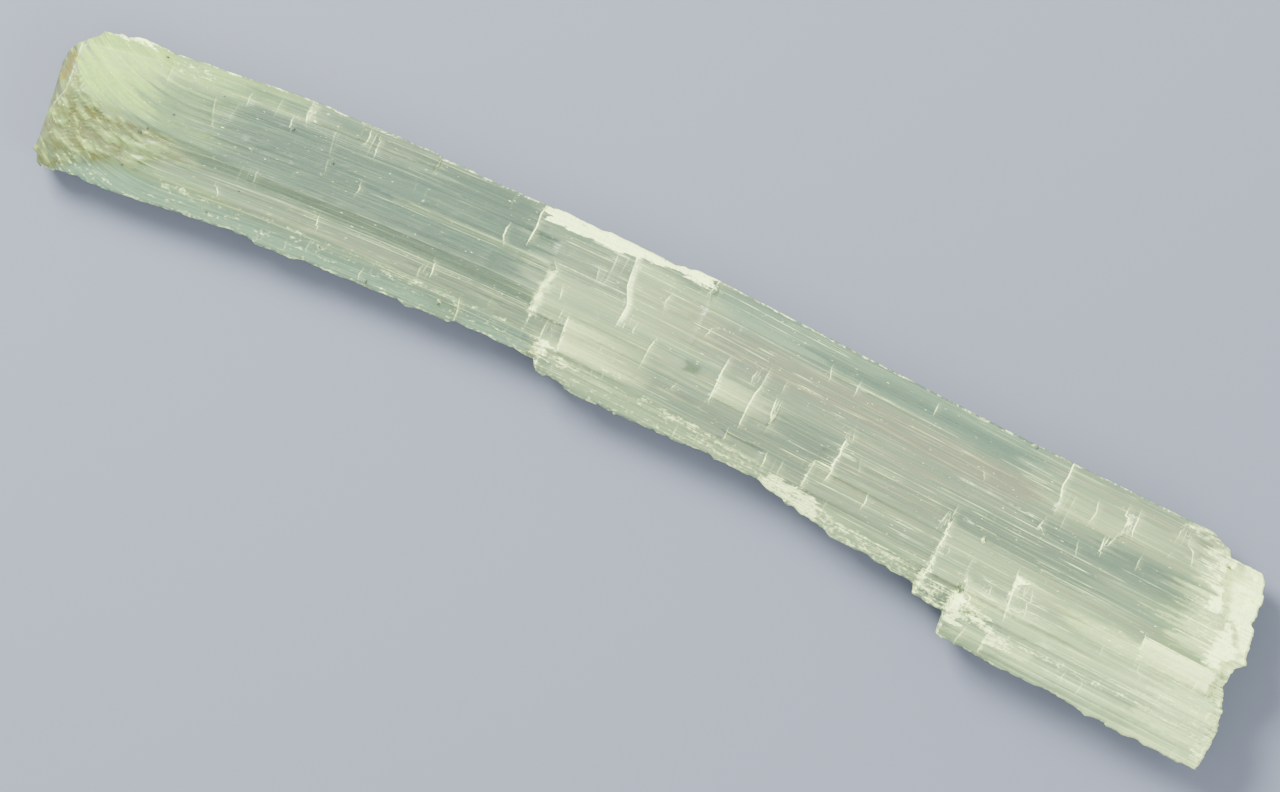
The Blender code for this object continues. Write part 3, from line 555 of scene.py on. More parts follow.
# %% Patches of clear, creamy, pale and icy crystal
CLEAR = [
    (15, 77, 0.3, 0, 10, 10, 0.48), (23, 77, 0.3, 0, 10, 10, 0.68),
    (20, 84, -9.8, -9.8, -6.4, -6.6, 0.32), (58, 76, 3.5, 4, 12, 12, 0.65), (120, 158, 9, 11.6, 0.62),
    (100, 103, 10, 12, 0.7), (76, 86, 9.4, 9.4, 10.4, 10.8, 0.5), (162, 190, 1.5, 3.3, 0.55),
    (172, 189, 3.3, 5.6, 0.55), (28, 82, -9.8, -9.8, -7.9, -8.1, 0.5), (104, 160, 11.5, 14, 0.42),
    (156, 168, -19.5, -19.5, -17, -17.2, 0.8), (185, 192, -18, -17, 0.5),
    (104.2, 106.6, -1.1, 0.6, 0.9), (150, 175, -3.6, -3.6, 1, 1.5, 0.35), (119.6, 131, -4.4, 1, 0.4),
    (104, 130, -7, -4.6, 0.3), (168, 184, -12, -9.6, 0.3),
]
CREAMY = [
    (2, 9, 4.5, 4, 15, 15, 0.95), (2, 16, 4, 3, 15, 15, 0.75), (2, 29, 3, 0.8, 15, 14, 0.45),
    (14, 37, 10.4, 14, 0.3), (4, 32, -10, -10, -4, -5, 0.25), (172, 196, -9, -6.5, 0.4),
    (184.5, 199, -8.6, -8.6, 6, 11, 0.15), (157.5, 162.5, -14.6, -14.6, -11.4, -12.2, 0.8),
]
PALE = [
    (84, 124, -11.5, -11.5, -7.2, -7.6, 0.3), (124, 151, -14, -15, -9.5, -10.8, 0.3),
    (83, 93, -8.4, -5.8, 0.5), (163, 200, -14.5, -9.2, 0.48), (157, 202, -20, -21, -15.2, -15.2, 0.56),
    (171, 197, -8.9, -9, -6.6, -6.2, 0.95), (163, 192, 5.5, 12, 0.12), (3, 24, 7.5, 8, 14, 14, 0.12),
    (189, 203, 3.6, 13, 1.1), (185, 203, 5.6, 15, 0.5), (187, 203, -3.6, 5.6, 0.6),
    (193, 203, -5, 4, 1.1), (188, 203, -20, -8.8, 0.8), (20, 83, -10, -10, -5, -5.6, 0.08),
]
ICY = [
    (5, 84, -10, -10, -6.2, -6.6, 0.75), (84, 150, -12, -15, -7.6, -11, 0.25),
    (156, 202, -20, -21, -15.2, -15.4, 0.6), (163, 200, -15.2, -9.2, 0.2), (104, 160, 9, 14, 0.2),
    (198, 204, -21, -2, 0.5),
]
print(sum(map(len, (CLEAR, CREAMY, PALE, ICY))), "patches of these tints")

# %% Patches that are warm, dark or stained, and some with a crisp outline
WARM = [
    (85.8, 98, -7, -1.7, 0.8), (100, 160, 3, 8, 1), (45, 58, 10.2, 13.2, 0.5),
    (40, 83, -4.5, -2.5, 0.5), (109.8, 119.5, -2.7, 0.8, 0.5), (97, 110, -6, -4.5, 0.5),
    (110, 150, -8, -1, 0.3),
]
# The dark patches are painted shade: under the main ridge, along the upper bevel and in a pit.
PAINTED_SHADE = [
    (24, 82, -2, -2.4, 0.3, -0.2, 0.72), (82, 100, -2, -0.5, 0.4), (25, 36, 11.2, 12.4, 0.6),
    (58, 74, 10, 13, 0.15), (40, 57, 10.6, 12.7, 0.55), (75.5, 79.8, 7.1, 8.3, 0.7),
    (60, 82, -5.6, -2.4, 0.3),
]
STAIN = [(82, 84.5, -9.4, -9.2, -7.6, -7.6, 0.6), (66, 71, -9.4, -7, 0.3)]
RUSTY = [
    (1, 2.4, 4.6, 4, 8.9, 8.2, 1), (82.3, 83.9, -9.2, -9.3, -7.4, -8, 0.4),
    (69.9, 70.6, -8.6, -6.6, 0.22), (157.8, 160.4, -13.6, -11.9, 0.08),
]
CRISP_FROST = [
    (163, 165.7, -7.9, -5.9, -5.55, -5.5, 1), (150.6, 152.4, -5.6, -5.1, -4.6, -4.9, 0.8),
    (163.2, 167.6, -16.9, -16.6, -14.7, -14.8, 0.66), (173.9, 174.8, 7.2, 7.2, 10.2, 9, 0.7),
]
CRISP_PALE = [
    (79.7, 81.2, -3.2, -3.2, 4.4, 3.4, 0.9), (130.9, 133.6, -1.5, -1.3, -0.9, -1.1, 0.9),
    (163.2, 170.5, -17, -16.8, -14.6, -14.6, 0.9), (36.9, 38.3, 10.6, 13.3, 0.4),
    (23.9, 27, 6.3, 6.6, 8.3, 8.5, 0.12),
]
FACET = [(-3, 2, -10, 9.6, 0.8), (2, 3, -10, -10, 9.6, 2.9, 0.8)]
# Pools of painted shade: a thin line under the main ridge and two pits.
SHADE_POOLS = [
    (36, 79.8, -1.5, -1.6, 0.05, -0.05, 0.45), (104.3, 106.7, -1.2, 0.7, 1), (75.5, 79.6, 7, 8.4, 0.8),
]
print(sum(map(len, (WARM, PAINTED_SHADE, STAIN, RUSTY))), "soft patches more, and some crisp ones")

# %% How strong the patches of one table are at a point
def patches(s, v, table, seed, soft=0.5, streak=1.3):
    """The strongest patch at each point: full inside its four edges and fading out over the soft
    distance, more along the fibres. (s, v) is first pushed by noise that is long along the fibres,
    and streak says how far it pushes s."""
    t = fibre(s, v)
    push = combed(s, t, 5.0 * streak, 0.45, seed) + 0.5 * combed(s, t, 2.0 * streak, 0.25, seed + 1)
    s = s + streak * push + 0.5 * combed(s, t, 0.8, 0.6, seed + 2)
    v = v + 0.35 * combed(s, t, 12.0, 1.2, seed + 3) + 0.25 * combed(s, t, 1.5, 0.5, seed + 4)
    strongest = 0.0 * s
    for s0, s1, *ends, strength in table:
        low0, low1, high0, high1 = ends if len(ends) == 4 else np.repeat(ends, 2)
        share = np.clip((s - s0) / (s1 - s0), 0.0, 1.0)
        low, high = low0 + (low1 - low0) * share, high0 + (high1 - high0) * share
        inside = rise_fall(s, s0 - 1.4 * soft, s0 + 1.8 * soft, s1 - 2.4 * soft, s1 + soft)
        strongest = np.maximum(strongest, strength * inside * within(v, low, high, soft))
    return strongest


print(f"frost at (95, 12.5): {patches(95.0, 12.5, FROST, 300):.2f}")

# %% [markdown]
# ## The height of the upper surface
# All the relief adds up to one height for each point: flat faces, laths, shards, the combed grain
# and the sugary roughness of frost, less the pits, the snapped tips and the splits. The cracks are
# shallow grooves. The rim is worn round, because a soft mineral never keeps a sharp edge.

# %% Combed grain, as (length, width, half height)
GRAIN = [(80, 2.6, 0.045), (50, 1.1, 0.035), (30, 0.5, 0.02), (14, 0.28, 0.01)]


def grain_height(s, v):
    """Sum of the combed noises in the table, each times its half height."""
    t = fibre(s, v)
    return sum(high * combed(s, t, long, wide, 80 + k) for k, (long, wide, high) in enumerate(GRAIN))


print(f"grain at (100, 0): {grain_height(100.0, 0.0):.3f} mm")

# %% The height, and the marks that go with it
HIGHEST = 12.55  # keeps the skin inside the solid's box
CLEAN_SPLITS = 20.0  # left of this the split faces have hardly any frost
FROST_RELIEF, GROOVE = 0.11, 0.10  # half height of sugary frost, and depth of a crack's groove
WEAR, WORN_WIDTH = 0.22, 0.35  # how deep and how wide the rim is worn round


def upper_surface(s, v, share):
    """(height, masks) at (s, v), where share is the part of the blade's width that v has passed."""
    height = sum(plain_faces(s, v + aside) for aside in (-0.2, -0.1, 0.0, 0.1, 0.2)) / 5
    pale = 0.0 * s
    for k, size in enumerate(LATHS):
        rise, inside, past = lath(s, v, size, 100 + 2 * k)
        height = height + rise
        fades = (1 - past) ** 0.7 if size[4] > size[5] else 0.7 + 0.3 * past
        pale = np.maximum(pale, size[7] * inside * fades)
    for k, size in enumerate(small_laths):
        near = (s > size[0] - 0.7) & (s < size[1] + 0.7) & (v > size[2] - 0.2) & (v < size[3] + 0.2)
        height[near] += lath(s[near], v[near], size, 200 + 2 * k)[0]
    torn, (shard, shard_pale) = fracture(s, v), shards(s, v)
    # brown between the pale shards: the torn end's stain, and painted shade in the hollows
    stain_and_hollow_shade = torn * (1.0 - 0.8 * shard_pale) * (0.75 + 0.35 * noise(s / 3.5, v / 3.0, 77))
    fall, end = snapped(s, v)
    silky = patches(s, v, STREAKED_FROST, 305, 1.6, 2.6)
    frost = np.maximum(patches(s, v, FROST, 300), patches(s, v, CRISP_FROST, 390, 0.2, 0.1))
    frost = np.maximum(np.maximum(frost, silky), 0.75 * step(s - end, -1.2, 0.1))
    rim = np.minimum(share, 1 - share) * (along(UPPER_EDGE, s) - along(LOWER_EDGE, s))
    frost = np.maximum(frost, 0.55 * (1 - step(rim, 0.1, 0.5)))
    crack, strength = crack_lines(s, v)
    sugar = 0.6 * noise(s / 0.7, v / 0.6, 91) + 0.4 * noise(s / 0.35, v / 0.3, 92)
    height = height + grain_height(s, v) * (1 - 0.5 * torn) + torn * (shard - 0.2)
    groove = GROOVE * strength * (1 - step(np.abs(crack), 0.0, 0.3))
    height = height + FROST_RELIEF * frost * sugar - groove
    height = height - pit_depth(s, v) - fall
    split = split_height(s, v)
    frost = frost * (1 - 0.9 * step(height - split, 0.0, 0.4) * (s < CLEAN_SPLITS))
    height = np.minimum(height, split) - WEAR * (1 - np.clip(rim / WORN_WIDTH, 0.0, 1.0)) ** 2
    pale = np.maximum(pale, patches(s, v, PALE, 350, 1.0, 4.0))
    stained = np.maximum(patches(s, v, STAIN, 340), patches(s, v, FACET, 375, 0.25, 0.1))
    masks = {
        # the raised shards are paler: partly painted highlight
        "frost": np.maximum(frost, 0.22 * torn * shard_pale),
        "silky": silky,
        "pale": np.maximum(pale, patches(s, v, CRISP_PALE, 395, 0.25, 0.15)),
        "cream": np.maximum(patches(s, v, CREAMY, 360, 1.4, 3.0), 0.55 * torn * shard_pale),
        "rust": patches(s, v, RUSTY, 370, 0.25, 0.15),
        "torn": torn,
        "clear": patches(s, v, CLEAR, 310, 1.3, 4.0),
        "icy": patches(s, v, ICY, 385, 1.3, 4.0),
        "warm": patches(s, v, WARM, 320, 1.3, 4.0),
        # painted shade, from the dark patches and the pools
        "dark": np.maximum(patches(s, v, PAINTED_SHADE, 330, 0.7, 3.0), patches(s, v, SHADE_POOLS, 380, 0.2, 0.1)),
        "stain": np.maximum(stained, stain_and_hollow_shade),
        "crack": crack,
        "crack_strength": strength,
    }
    masks["fibre"], masks["fibre_strength"] = fibre_lines(s, v)
    return np.minimum(height, HIGHEST), masks


middle = np.array([100.0])
middle_z, middle_marks = upper_surface(middle, 0.0 * middle, 0.0 * middle + 0.5)
print(f"{middle_z[0]:.2f} mm high at (100, 0), with {len(middle_marks)} marks")

# %% [markdown]
# ## Six patches, one skin
# The skin is a top, a base, two long walls and two ends. Each is a grid of points, and
# neighbours share the points of their common edge, so the skin is closed without any welding.
# Stations along the blade stand closer together at the ledges, where the height changes fast.

# %% Counts, and the stations along the blade
STATIONS, COLUMNS, WALL_ROWS, BASE_COLUMNS = 508, 133, 17, 23
LEDGES = [
    2, 15, 37.2, 57.8, 75.1, 80.1, 84.3, 86, 91.8, 98.3, 104.2, 106.7, 109.8, 116, 119.5, 128.2, 131,
    150.6, 156.3, 163.3, 174, 184.6, 189.5, 191.5, 196.5,
]
CROWDING, BELL = 2.0, 0.9  # how many more stations a ledge gets, and over how many mm


def stations():
    """Values of s from 0 to the length: even steps along a running total of density, which is one
    plus a bell over every ledge."""
    fine = np.linspace(0.0, LENGTH, 8001)
    density = 1.0 + sum(CROWDING * np.exp(-(((fine - ledge) / BELL) ** 2)) for ledge in LEDGES)
    total = np.cumsum(density)
    return np.interp(np.linspace(total[0], total[-1], STATIONS), total, fine)


spine = stations()
steps = np.diff(spine)
print(f"steps along the blade: from {steps.min():.2f} to {steps.max():.2f} mm")

# %% [markdown]
# ## The long walls and the ends
# The walls drop straight from the rim and then turn in under the blade, as a broken edge does, and
# they are fluted by fibres. At the ends the bundles of fibres stop at their own lengths, and the
# lower layer stops earlier, so the end is a small staircase.

# %% The two long edges, and the underside with its undercuts
EDGE_CHIPS = (0.13, 0.04)  # inwards, on the lower and the upper edge
# Undercuts, as (s left, s right, v low, v high, depth)
UNDERCUTS = [
    (-4, 26, 4.6, 18, 0.9), (58, 92, 8, 18, 0.6), (118, 204, -24, -11.8, 0.8), (186, 204, -4, 18, 1),
]


def edge_line(s, side):
    """The outline's v on the lower side, 0, or the upper one, 1, chipped by noise that only ever
    goes inwards."""
    chips = noise(s / 1.1, 0.0 * s, 11 + side) + 0.7 * noise(s / 0.45, 0.0 * s, 13 + side) + 1.0
    chips = EDGE_CHIPS[side] * np.clip(chips, 0.0, None)
    return along(UPPER_EDGE, s) - chips if side else along(LOWER_EDGE, s) + chips


def under_surface(s, v):
    """Height of the base: nought where the blade rests, and the depth of an undercut elsewhere,
    reached over one millimetre and roughened there."""
    height = 0.0 * s
    for a, b, low, high, depth in UNDERCUTS:
        inside = within(s, a, b, 0.5) * within(v, low, high, 0.5)
        rough = 1.0 + 0.35 * combed(s, v, 9.0, 0.9, 95) + 0.15 * noise(s / 0.8, v / 0.6, 96)
        height = np.maximum(height, depth * inside * rough)
    return height


print(f"edges at the middle: v = {edge_line(100.0, 0):.2f} and {edge_line(100.0, 1):.2f} mm")

# %% The walls
BAND = 3.4  # height of the part of a wall that turns in
TURN_IN = (2.4, 2.0)  # how far the base is inside the lower and the upper edge


def wall_inset(height, drop, s, side):
    """How far inside the edge a wall is: nothing above the band, then growing evenly to its turn-in
    at the base, plus flutes that start a little below the rim."""
    turned = TURN_IN[side] * np.clip((BAND - height) / BAND, 0.0, 1.0)
    flutes = 0.5 + 0.5 * combed(s, height, 26.0, 0.7, 97 + side) + 0.5 * combed(s, height, 7.0, 0.35, 98)
    return turned + 0.34 * np.clip(flutes, 0.0, None) * np.clip(drop / 0.8, 0.0, 1.0)


print(f"the wall is {wall_inset(0.0, 12.0, 100.0, 0):.2f} mm in at its foot")

# %% The ends, from share 0 at the rim to share 1 at the base
STRETCH = 14.0  # of each end, how much moves to meet the true end
FARTHEST = 200.45  # how far s may reach
LOWER_LAYER_END = [(-21, 198.9), (-8, 197.2), (2, 196), (13, 194.6)]  # as (v, s)


def right_end(v, share):
    """How far the right end reaches: the outline's reach, less the recess of each bundle below the
    rim, and less that of the lower layer from halfway down."""
    bundle, level = strip(v / BUNDLE), strip(share * 6.0, 4)
    teeth = 0.35 * bundle_chance[1][bundle] + 0.25 * bundle_chance[2][strip(v / 0.4)]
    recess = step(share, 0.0, 0.12) * 0.75 * (1.0 + bundle_chance[level, (bundle + level) % BUNDLES])
    lower = along(RIGHT_REACH, v) - along(LOWER_LAYER_END, v)
    recess = np.maximum(recess, np.clip(lower + 0.6, 0.0, 6.0) * step(share, 0.45, 0.75))
    return np.minimum(along(RIGHT_REACH, v) + 0.4 * teeth, FARTHEST) - recess


def left_end(v, share):
    """How far the left end starts: the outline's reach, roughened more and more below the rim."""
    rough = 0.5 + 0.5 * noise(v / 1.1, share * 5.0, 93) + 0.4 * noise(v / 0.4, share * 14.0, 94)
    return along(LEFT_REACH, v) + 0.06 + 0.4 * np.clip(rough, 0.0, None) * step(share, 0.0, 0.2)


def stretched(s, v, share):
    """Moves stations to the true ends: a stretch at each end shares out what is missing, by the
    square of how far into it the station is."""
    near_left = np.clip(1 - s / STRETCH, 0, 1) ** 2
    near_right = np.clip((s - LENGTH) / STRETCH + 1, 0, 1) ** 2
    return s + near_left * left_end(v, share) + near_right * (right_end(v, share) - LENGTH)


print(f"at v = 0 the rim goes from {left_end(0.0, 0.0):.1f} to {right_end(0.0, 0.0):.1f} mm")

# %% The points of the top
BREAK_SLOPES = (0.4, 1.0)  # mm of rise in each mm along the fibres, from no frost to full
BREAK_FROST = 0.6  # how white full is
TORN_ENDS = 20.0  # left of this the torn end has marks of its own


def between(a, b, share):
    """Straight from a to b."""
    return a + (b - a) * share


wide = np.linspace(0.0, 1.0, COLUMNS)
deep = np.linspace(0.0, 1.0, WALL_ROWS)
low_edge, high_edge = edge_line(spine, 0), edge_line(spine, 1)
top_v = between(low_edge[:, None], high_edge[:, None], wide)
top_s = stretched(spine[:, None], top_v, 0.0)
top_z, masks = upper_surface(top_s, top_v, wide)
steep = np.abs(np.gradient(top_z, axis=0) / np.gradient(top_s, axis=0))
broken = BREAK_FROST * step(steep, *BREAK_SLOPES) * (top_s > TORN_ENDS)
masks["frost"] = np.maximum(masks["frost"], broken)
print(f"top of {top_z.shape} points, from {top_z.min():.2f} to {top_z.max():.2f} mm high")

# %% The points of the walls
walls = []
for side, edge in enumerate((low_edge, high_edge)):
    rim = top_z[:, -side]
    height = rim[:, None] * (1 - deep)
    inset = wall_inset(height, rim[:, None] - height, spine[:, None], side)
    wall_v = edge[:, None] + (inset if side == 0 else -inset)
    wall_s = stretched(spine[:, None], wall_v, deep)
    foot = under_surface(wall_s[:, -1], wall_v[:, -1])
    walls.append((wall_s, wall_v, between(rim[:, None], foot[:, None], deep)))
print("walls of", walls[0][0].shape, "points each")

# %% The points of the base and the ends
base_share = np.linspace(0.0, 1.0, BASE_COLUMNS)
base_v = between(walls[0][1][:, -1:], walls[1][1][:, -1:], base_share)
base_s = stretched(spine[:, None], base_v, 1.0)
base_z = under_surface(base_s, base_v)
ends = []
for row in (0, -1):
    end_v = between(walls[0][1][row], walls[1][1][row], wide[:, None])
    end_s = stretched(spine[row], end_v, deep)
    foot = under_surface(end_s[:, -1], end_v[:, -1])
    ends.append((end_s, end_v, between(top_z[row][:, None], foot[:, None], deep)))
print("base of", base_s.shape, "points, ends of", ends[0][0].shape, "each")

# %% [markdown]
# ## Putting the skin together
# Marks are numbers kept at each point for the material: one for each mask, and the two distances
# with their strengths. The walls carry on the marks of the rim above them. The texture coordinates run
# along the fibres, in centimetres, and go round the blade like a sleeve, so the combed grain of
# the material has no seam at the rim.

# %% Ways to add points, marks and faces
places, marks, faces, corners = [], {name: [] for name in masks}, [], []
PLAIN = {
    "frost": 0.45, "silky": 0.7, "torn": 0.0, "pale": 0.25, "cream": 0.1, "rust": 0.0, "clear": 0.2,
    "icy": 0.1, "warm": 0.25, "dark": 0.1, "stain": 0.0, "crack": LINE_REACH, "crack_strength": 0.0,
    "fibre": 0.5, "fibre_strength": 0.0,
}


def add(s, v, z, values, part=np.s_[:, :]):
    """Adds that part of a grid of points with its marks, and gives back the points' numbers."""
    first = sum(len(block) for block in places)
    places.append(placed(s, v, z)[part].reshape(-1, 3))
    for name in marks:
        value = values.get(name, PLAIN[name])
        marks[name].append(np.broadcast_to(value, s.shape)[part].reshape(-1))
    return np.arange(first, first + s[part].size).reshape(s[part].shape)


def quads(numbers, uv, outwards):
    """Adds a face for each cell of the grid, and the texture coordinates of its corners. Outwards
    is 1 where the rows and columns turn anticlockwise as seen from outside."""
    for grid, store in ((numbers, faces), (uv, corners)):
        cell = [grid[:-1, :-1], grid[1:, :-1], grid[1:, 1:], grid[:-1, 1:]][::outwards]
        store.append(np.stack(cell, axis=2).reshape(-1, 4, *grid.shape[2:]))


def sleeve(s, t):
    """Texture coordinates in centimetres: along the fibres and around the blade."""
    return np.stack([s, t + 0 * s], axis=-1) / 10.0


print(len(marks), "marks at each point")

# %% The top and the walls
top = add(top_s, top_v, top_z, masks)
quads(top, sleeve(top_s, fibre(top_s, top_v)), 1)
wall_numbers, wall_ts = [], []
for side, (wall_s, wall_v, wall_z) in enumerate(walls):
    rim = {name: values[:, -side][:, None] for name, values in masks.items()}
    mottle = 0.5 + 0.5 * combed(wall_s, wall_z, 5.0, 0.8, 110 + side)
    values = {name: between(rim[name], PLAIN[name], step(deep, 0.0, 0.5)) for name in masks}
    values["frost"] = np.clip(between(rim["frost"], 0.35 + 0.4 * mottle, step(deep, 0.0, 0.2)), 0, 1)
    values["stain"] = values["stain"] + 0.5 * (1 - step(wall_s, 4.0, 22.0)) * mottle
    values["crack_strength"] = rim["crack_strength"] * (1 - step(deep, 0.1, 0.5))
    added = add(wall_s, wall_v, wall_z, values, np.s_[:, 1:])
    wall_numbers.append(np.concatenate([top[:, -side][:, None], added], axis=1))
    down = wall_z[:, :1] - wall_z
    edge_t = fibre(wall_s, (low_edge, high_edge)[side][:, None])
    wall_ts.append(edge_t - down if side == 0 else edge_t + down)
    quads(wall_numbers[side], sleeve(wall_s, wall_ts[side]), -1 if side == 0 else 1)
print(sum(map(len, places)), "points on the top and the walls")

# %% The base
mottle = 0.5 + 0.5 * combed(base_s, base_v, 14.0, 1.4, 112)
base_marks = {"frost": 0.15 + 0.5 * mottle, "stain": 0.45 * (1 - step(base_s, 4.0, 22.0)) * mottle}
added = add(base_s, base_v, base_z, base_marks, np.s_[:, 1:-1])
base = np.concatenate([wall_numbers[0][:, -1:], added, wall_numbers[1][:, -1:]], axis=1)
base_t = wall_ts[0][:, -1:] - (base_v - base_v[:, :1])
base_uv = sleeve(base_s, base_t)
quads(base[1:-1], base_uv[1:-1], -1)
print(added.size, "points inside the base")

# %% The ends, and the many-sided cells where the wide cells of the base meet them
many_sided, many_corners = [], []
PER_CELL = (COLUMNS - 1) // (BASE_COLUMNS - 1)
for row, (end_s, end_v, end_z) in zip((0, -1), ends):
    ragged = 0.5 + 0.5 * noise(end_v / 0.5, end_z / 3.0, 113)
    rim = {name: values[row][:, None] for name, values in masks.items()}
    values = {name: between(rim[name], PLAIN[name], step(deep, 0.0, 0.3)) for name in masks}
    values["frost"] = np.clip(0.35 + 0.65 * ragged, 0, 1) if row else 0.15 + 0.5 * ragged
    values["stain"] = 0.0 * end_s if row else np.clip(0.55 + 0.5 * ragged, 0, 1)
    numbers = np.empty(end_s.shape, int)
    numbers[:, 0], numbers[0], numbers[-1] = top[row], wall_numbers[0][row], wall_numbers[1][row]
    numbers[1:-1, 1:] = add(end_s, end_v, end_z, values, np.s_[1:-1, 1:])
    numbers[::PER_CELL, -1] = base[row]
    end_uv = sleeve(end_s + end_z[:, :1] - end_z, end_v)
    quads(numbers, end_uv, -1 if row else 1)
    next_row = -2 if row else 1
    for j in range(BASE_COLUMNS - 1):
        foot = slice(j * PER_CELL, (j + 1) * PER_CELL + 1)
        cell = [*numbers[foot, -1], base[next_row, j + 1], base[next_row, j]]
        uv = [*end_uv[foot, -1], base_uv[next_row, j + 1], base_uv[next_row, j]]
        many_sided.append([int(number) for number in cell][:: -1 if row else 1])
        many_corners.extend(uv[:: -1 if row else 1])
print(len(many_sided), "many-sided cells")

# %% Make the object, without the points that no face uses
positions = np.concatenate(places)
four_sided = np.concatenate(faces)
used = np.zeros(len(positions), bool)
used[four_sided] = True
renumber = np.cumsum(used) - 1
mesh = bpy.data.meshes.new("crystal")
polygons = renumber[four_sided].tolist() + [[int(renumber[n]) for n in cell] for cell in many_sided]
mesh.from_pydata(positions[used].tolist(), [], polygons)
uv = np.concatenate([np.concatenate(corners).reshape(-1, 2), np.array(many_corners)])
mesh.uv_layers.new(name="fibres").data.foreach_set("uv", uv.astype(np.float32).ravel())
for name, blocks in marks.items():
    attribute = mesh.attributes.new(name, "FLOAT", "POINT")
    attribute.data.foreach_set("value", np.concatenate(blocks)[used].astype(np.float32))
mesh.shade_smooth()
crystal = shown("crystal", mesh)
check = bmesh.new()
check.from_mesh(mesh)
open_edges = sum(not edge.is_manifold for edge in check.edges)
volume = check.calc_volume(signed=True)
check.free()
print(f"{len(mesh.polygons)} faces, {open_edges} open edges, {volume / MM**3 / 1000:.1f} cm3")
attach(crystal, "root")
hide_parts("selenite_blade")

# %% [markdown]
# ## Selenite in nodes
# The material reads the marks and the sleeve. A small class keeps its nodes short to write. Three
# noises, stretched along the fibres, give the silk: fine ones a quarter of a millimetre wide, and
# broad ones that shade whole bands. Others give glints, sugary grains, clouds, clumps and splinters.

# %% A short way to write node trees
class Tree:
    """The nodes of one material, with each helper giving back an output to use further on."""

    def __init__(self, name):
        self.material = bpy.data.materials.new(name)
        self.material.use_nodes = True
        self.nodes, self.links = self.material.node_tree.nodes, self.material.node_tree.links
        self.shader = self.nodes["Principled BSDF"]

    def feed(self, socket, value):
        """Sets a socket to a number or colour, or links it to another node's output."""
        if isinstance(value, bpy.types.NodeSocket):
            self.links.new(value, socket)
        elif isinstance(value, tuple) and len(value) == 3 and socket.type == "RGBA":
            socket.default_value = (*value, 1.0)
        else:
            socket.default_value = value

    def set(self, **inputs):
        """Feeds the shader's own sockets; an underscore stands for a space."""
        for name, value in inputs.items():
            self.feed(self.shader.inputs[name.replace("_", " ")], value)

    def new(self, kind, values=(), **settings):
        """A new node with these settings, and these values in its first inputs."""
        node = self.nodes.new("ShaderNode" + kind)
        for name, value in settings.items():
            setattr(node, name, value)
        for socket, value in zip(node.inputs, values):
            self.feed(socket, value)
        return node

    def mark(self, name):
        """A number kept at the points of the mesh."""
        return self.new("Attribute", attribute_name=name).outputs["Fac"]

    def math(self, operation, *values):
        """One sum, product and so on."""
        return self.new("Math", values, operation=operation).outputs[0]

    def times(self, a, b):
        """a times b."""
        return self.math("MULTIPLY", a, b)

    def line(self, value, slope, offset):
        """The value times the slope, plus the offset."""
        return self.math("MULTIPLY_ADD", value, slope, offset)

    def most(self, first, *others):
        """The largest of the values."""
        for other in others:
            first = self.math("MAXIMUM", first, other)
        return first

    def varied(self, value, *ramp):
        """The value times a ramp of another one."""
        return self.times(value, self.ramp(*ramp))

    def ramp(self, value, low, high, start=0.0, end=1.0):
        """Start below low and end above high, with a smooth step in between."""
        values = (value, low, high, start, end)
        return self.new("MapRange", values, interpolation_type="SMOOTHSTEP").outputs[0]

    def mix(self, share, a, b):
        """Colour a where share is 0 and b where it is 1."""
        node = self.new("Mix", (share,), data_type="RGBA")
        self.feed(node.inputs[6], a)
        self.feed(node.inputs[7], b)
        return node.outputs[2]

    def noise(self, where, cells, detail=2.0):
        """Noise with this many cells for each unit of the coordinates, as (x, y, z)."""
        scale = self.new("Mapping", (where,))
        scale.inputs["Scale"].default_value = cells
        node = self.new("TexNoise", (scale.outputs[0],))
        node.inputs["Scale"].default_value = 1.0
        node.inputs["Detail"].default_value = detail
        return node.outputs["Fac"]

    def bump(self, *layers):
        """A normal from (height, metres) pairs, one bump on another."""
        normal = None
        for height, distance in layers:
            node = self.new("Bump")
            node.inputs["Distance"].default_value = distance
            self.links.new(height, node.inputs["Height"])
            if normal:
                self.links.new(normal, node.inputs["Normal"])
            normal = node.outputs["Normal"]
        return normal


# %% Colours of the crystal, in linear light
MILK = (0.149, 0.216, 0.146)
COOL = (0.054, 0.100, 0.115)
ICE = (0.168, 0.315, 0.262)
BUFF = (0.173, 0.162, 0.124)
CREAM = (0.34, 0.55, 0.04)
# the colour of painted shade, for the dark patches
SHADE = (0.038, 0.066, 0.056)
BROWN = (0.122, 0.108, 0.020)
# the next two: brown of the creases with painted shade in it, and pale flakes with painted highlight
UMBER_AND_CREASE_SHADE = (0.092, 0.080, 0.020)
STRAW_AND_HIGHLIGHT = (0.42, 0.52, 0.16)
ORANGE = (0.19, 0.132, 0.0)
SNOW = (0.87, 0.985, 0.46)
print(f"snow reflects {SNOW[1] / SHADE[1]:.0f} times as much green as shade")

# %% The material's noises
tree = Tree("selenite")
sleeve_map = tree.new("UVMap", uv_map="fibres").outputs[0]
object_map = tree.new("TexCoord").outputs["Object"]
silk = tree.noise(sleeve_map, (0.7, 42.0, 1.0), 3.0)
strands = tree.noise(sleeve_map, (0.25, 24.0, 1.0))
bands = tree.noise(sleeve_map, (0.08, 4.5, 1.0))
glints = tree.noise(sleeve_map, (13.0, 60.0, 1.0), 1.0)
sugar = tree.noise(object_map, (1900.0,) * 3)
clouds = tree.noise(object_map, (260.0,) * 3)
clumps = tree.noise(sleeve_map, (4.5, 13.0, 1.0), 3.0)
splinters = tree.noise(sleeve_map, (3.4, 8.5, 1.0), 6.0)
print(len(tree.nodes), "nodes for the noises")

# %% [markdown]
# ## The white parts
# Frost is ragged: a noise lifts or lowers the mark before it is cut off, so its edge is grainy at a
# scale that the mesh can't hold. A crack is a thin core with a soft glow on its right, where light
# leaks into the crystal. A bright fibre is a thin line that clouds fade in places.

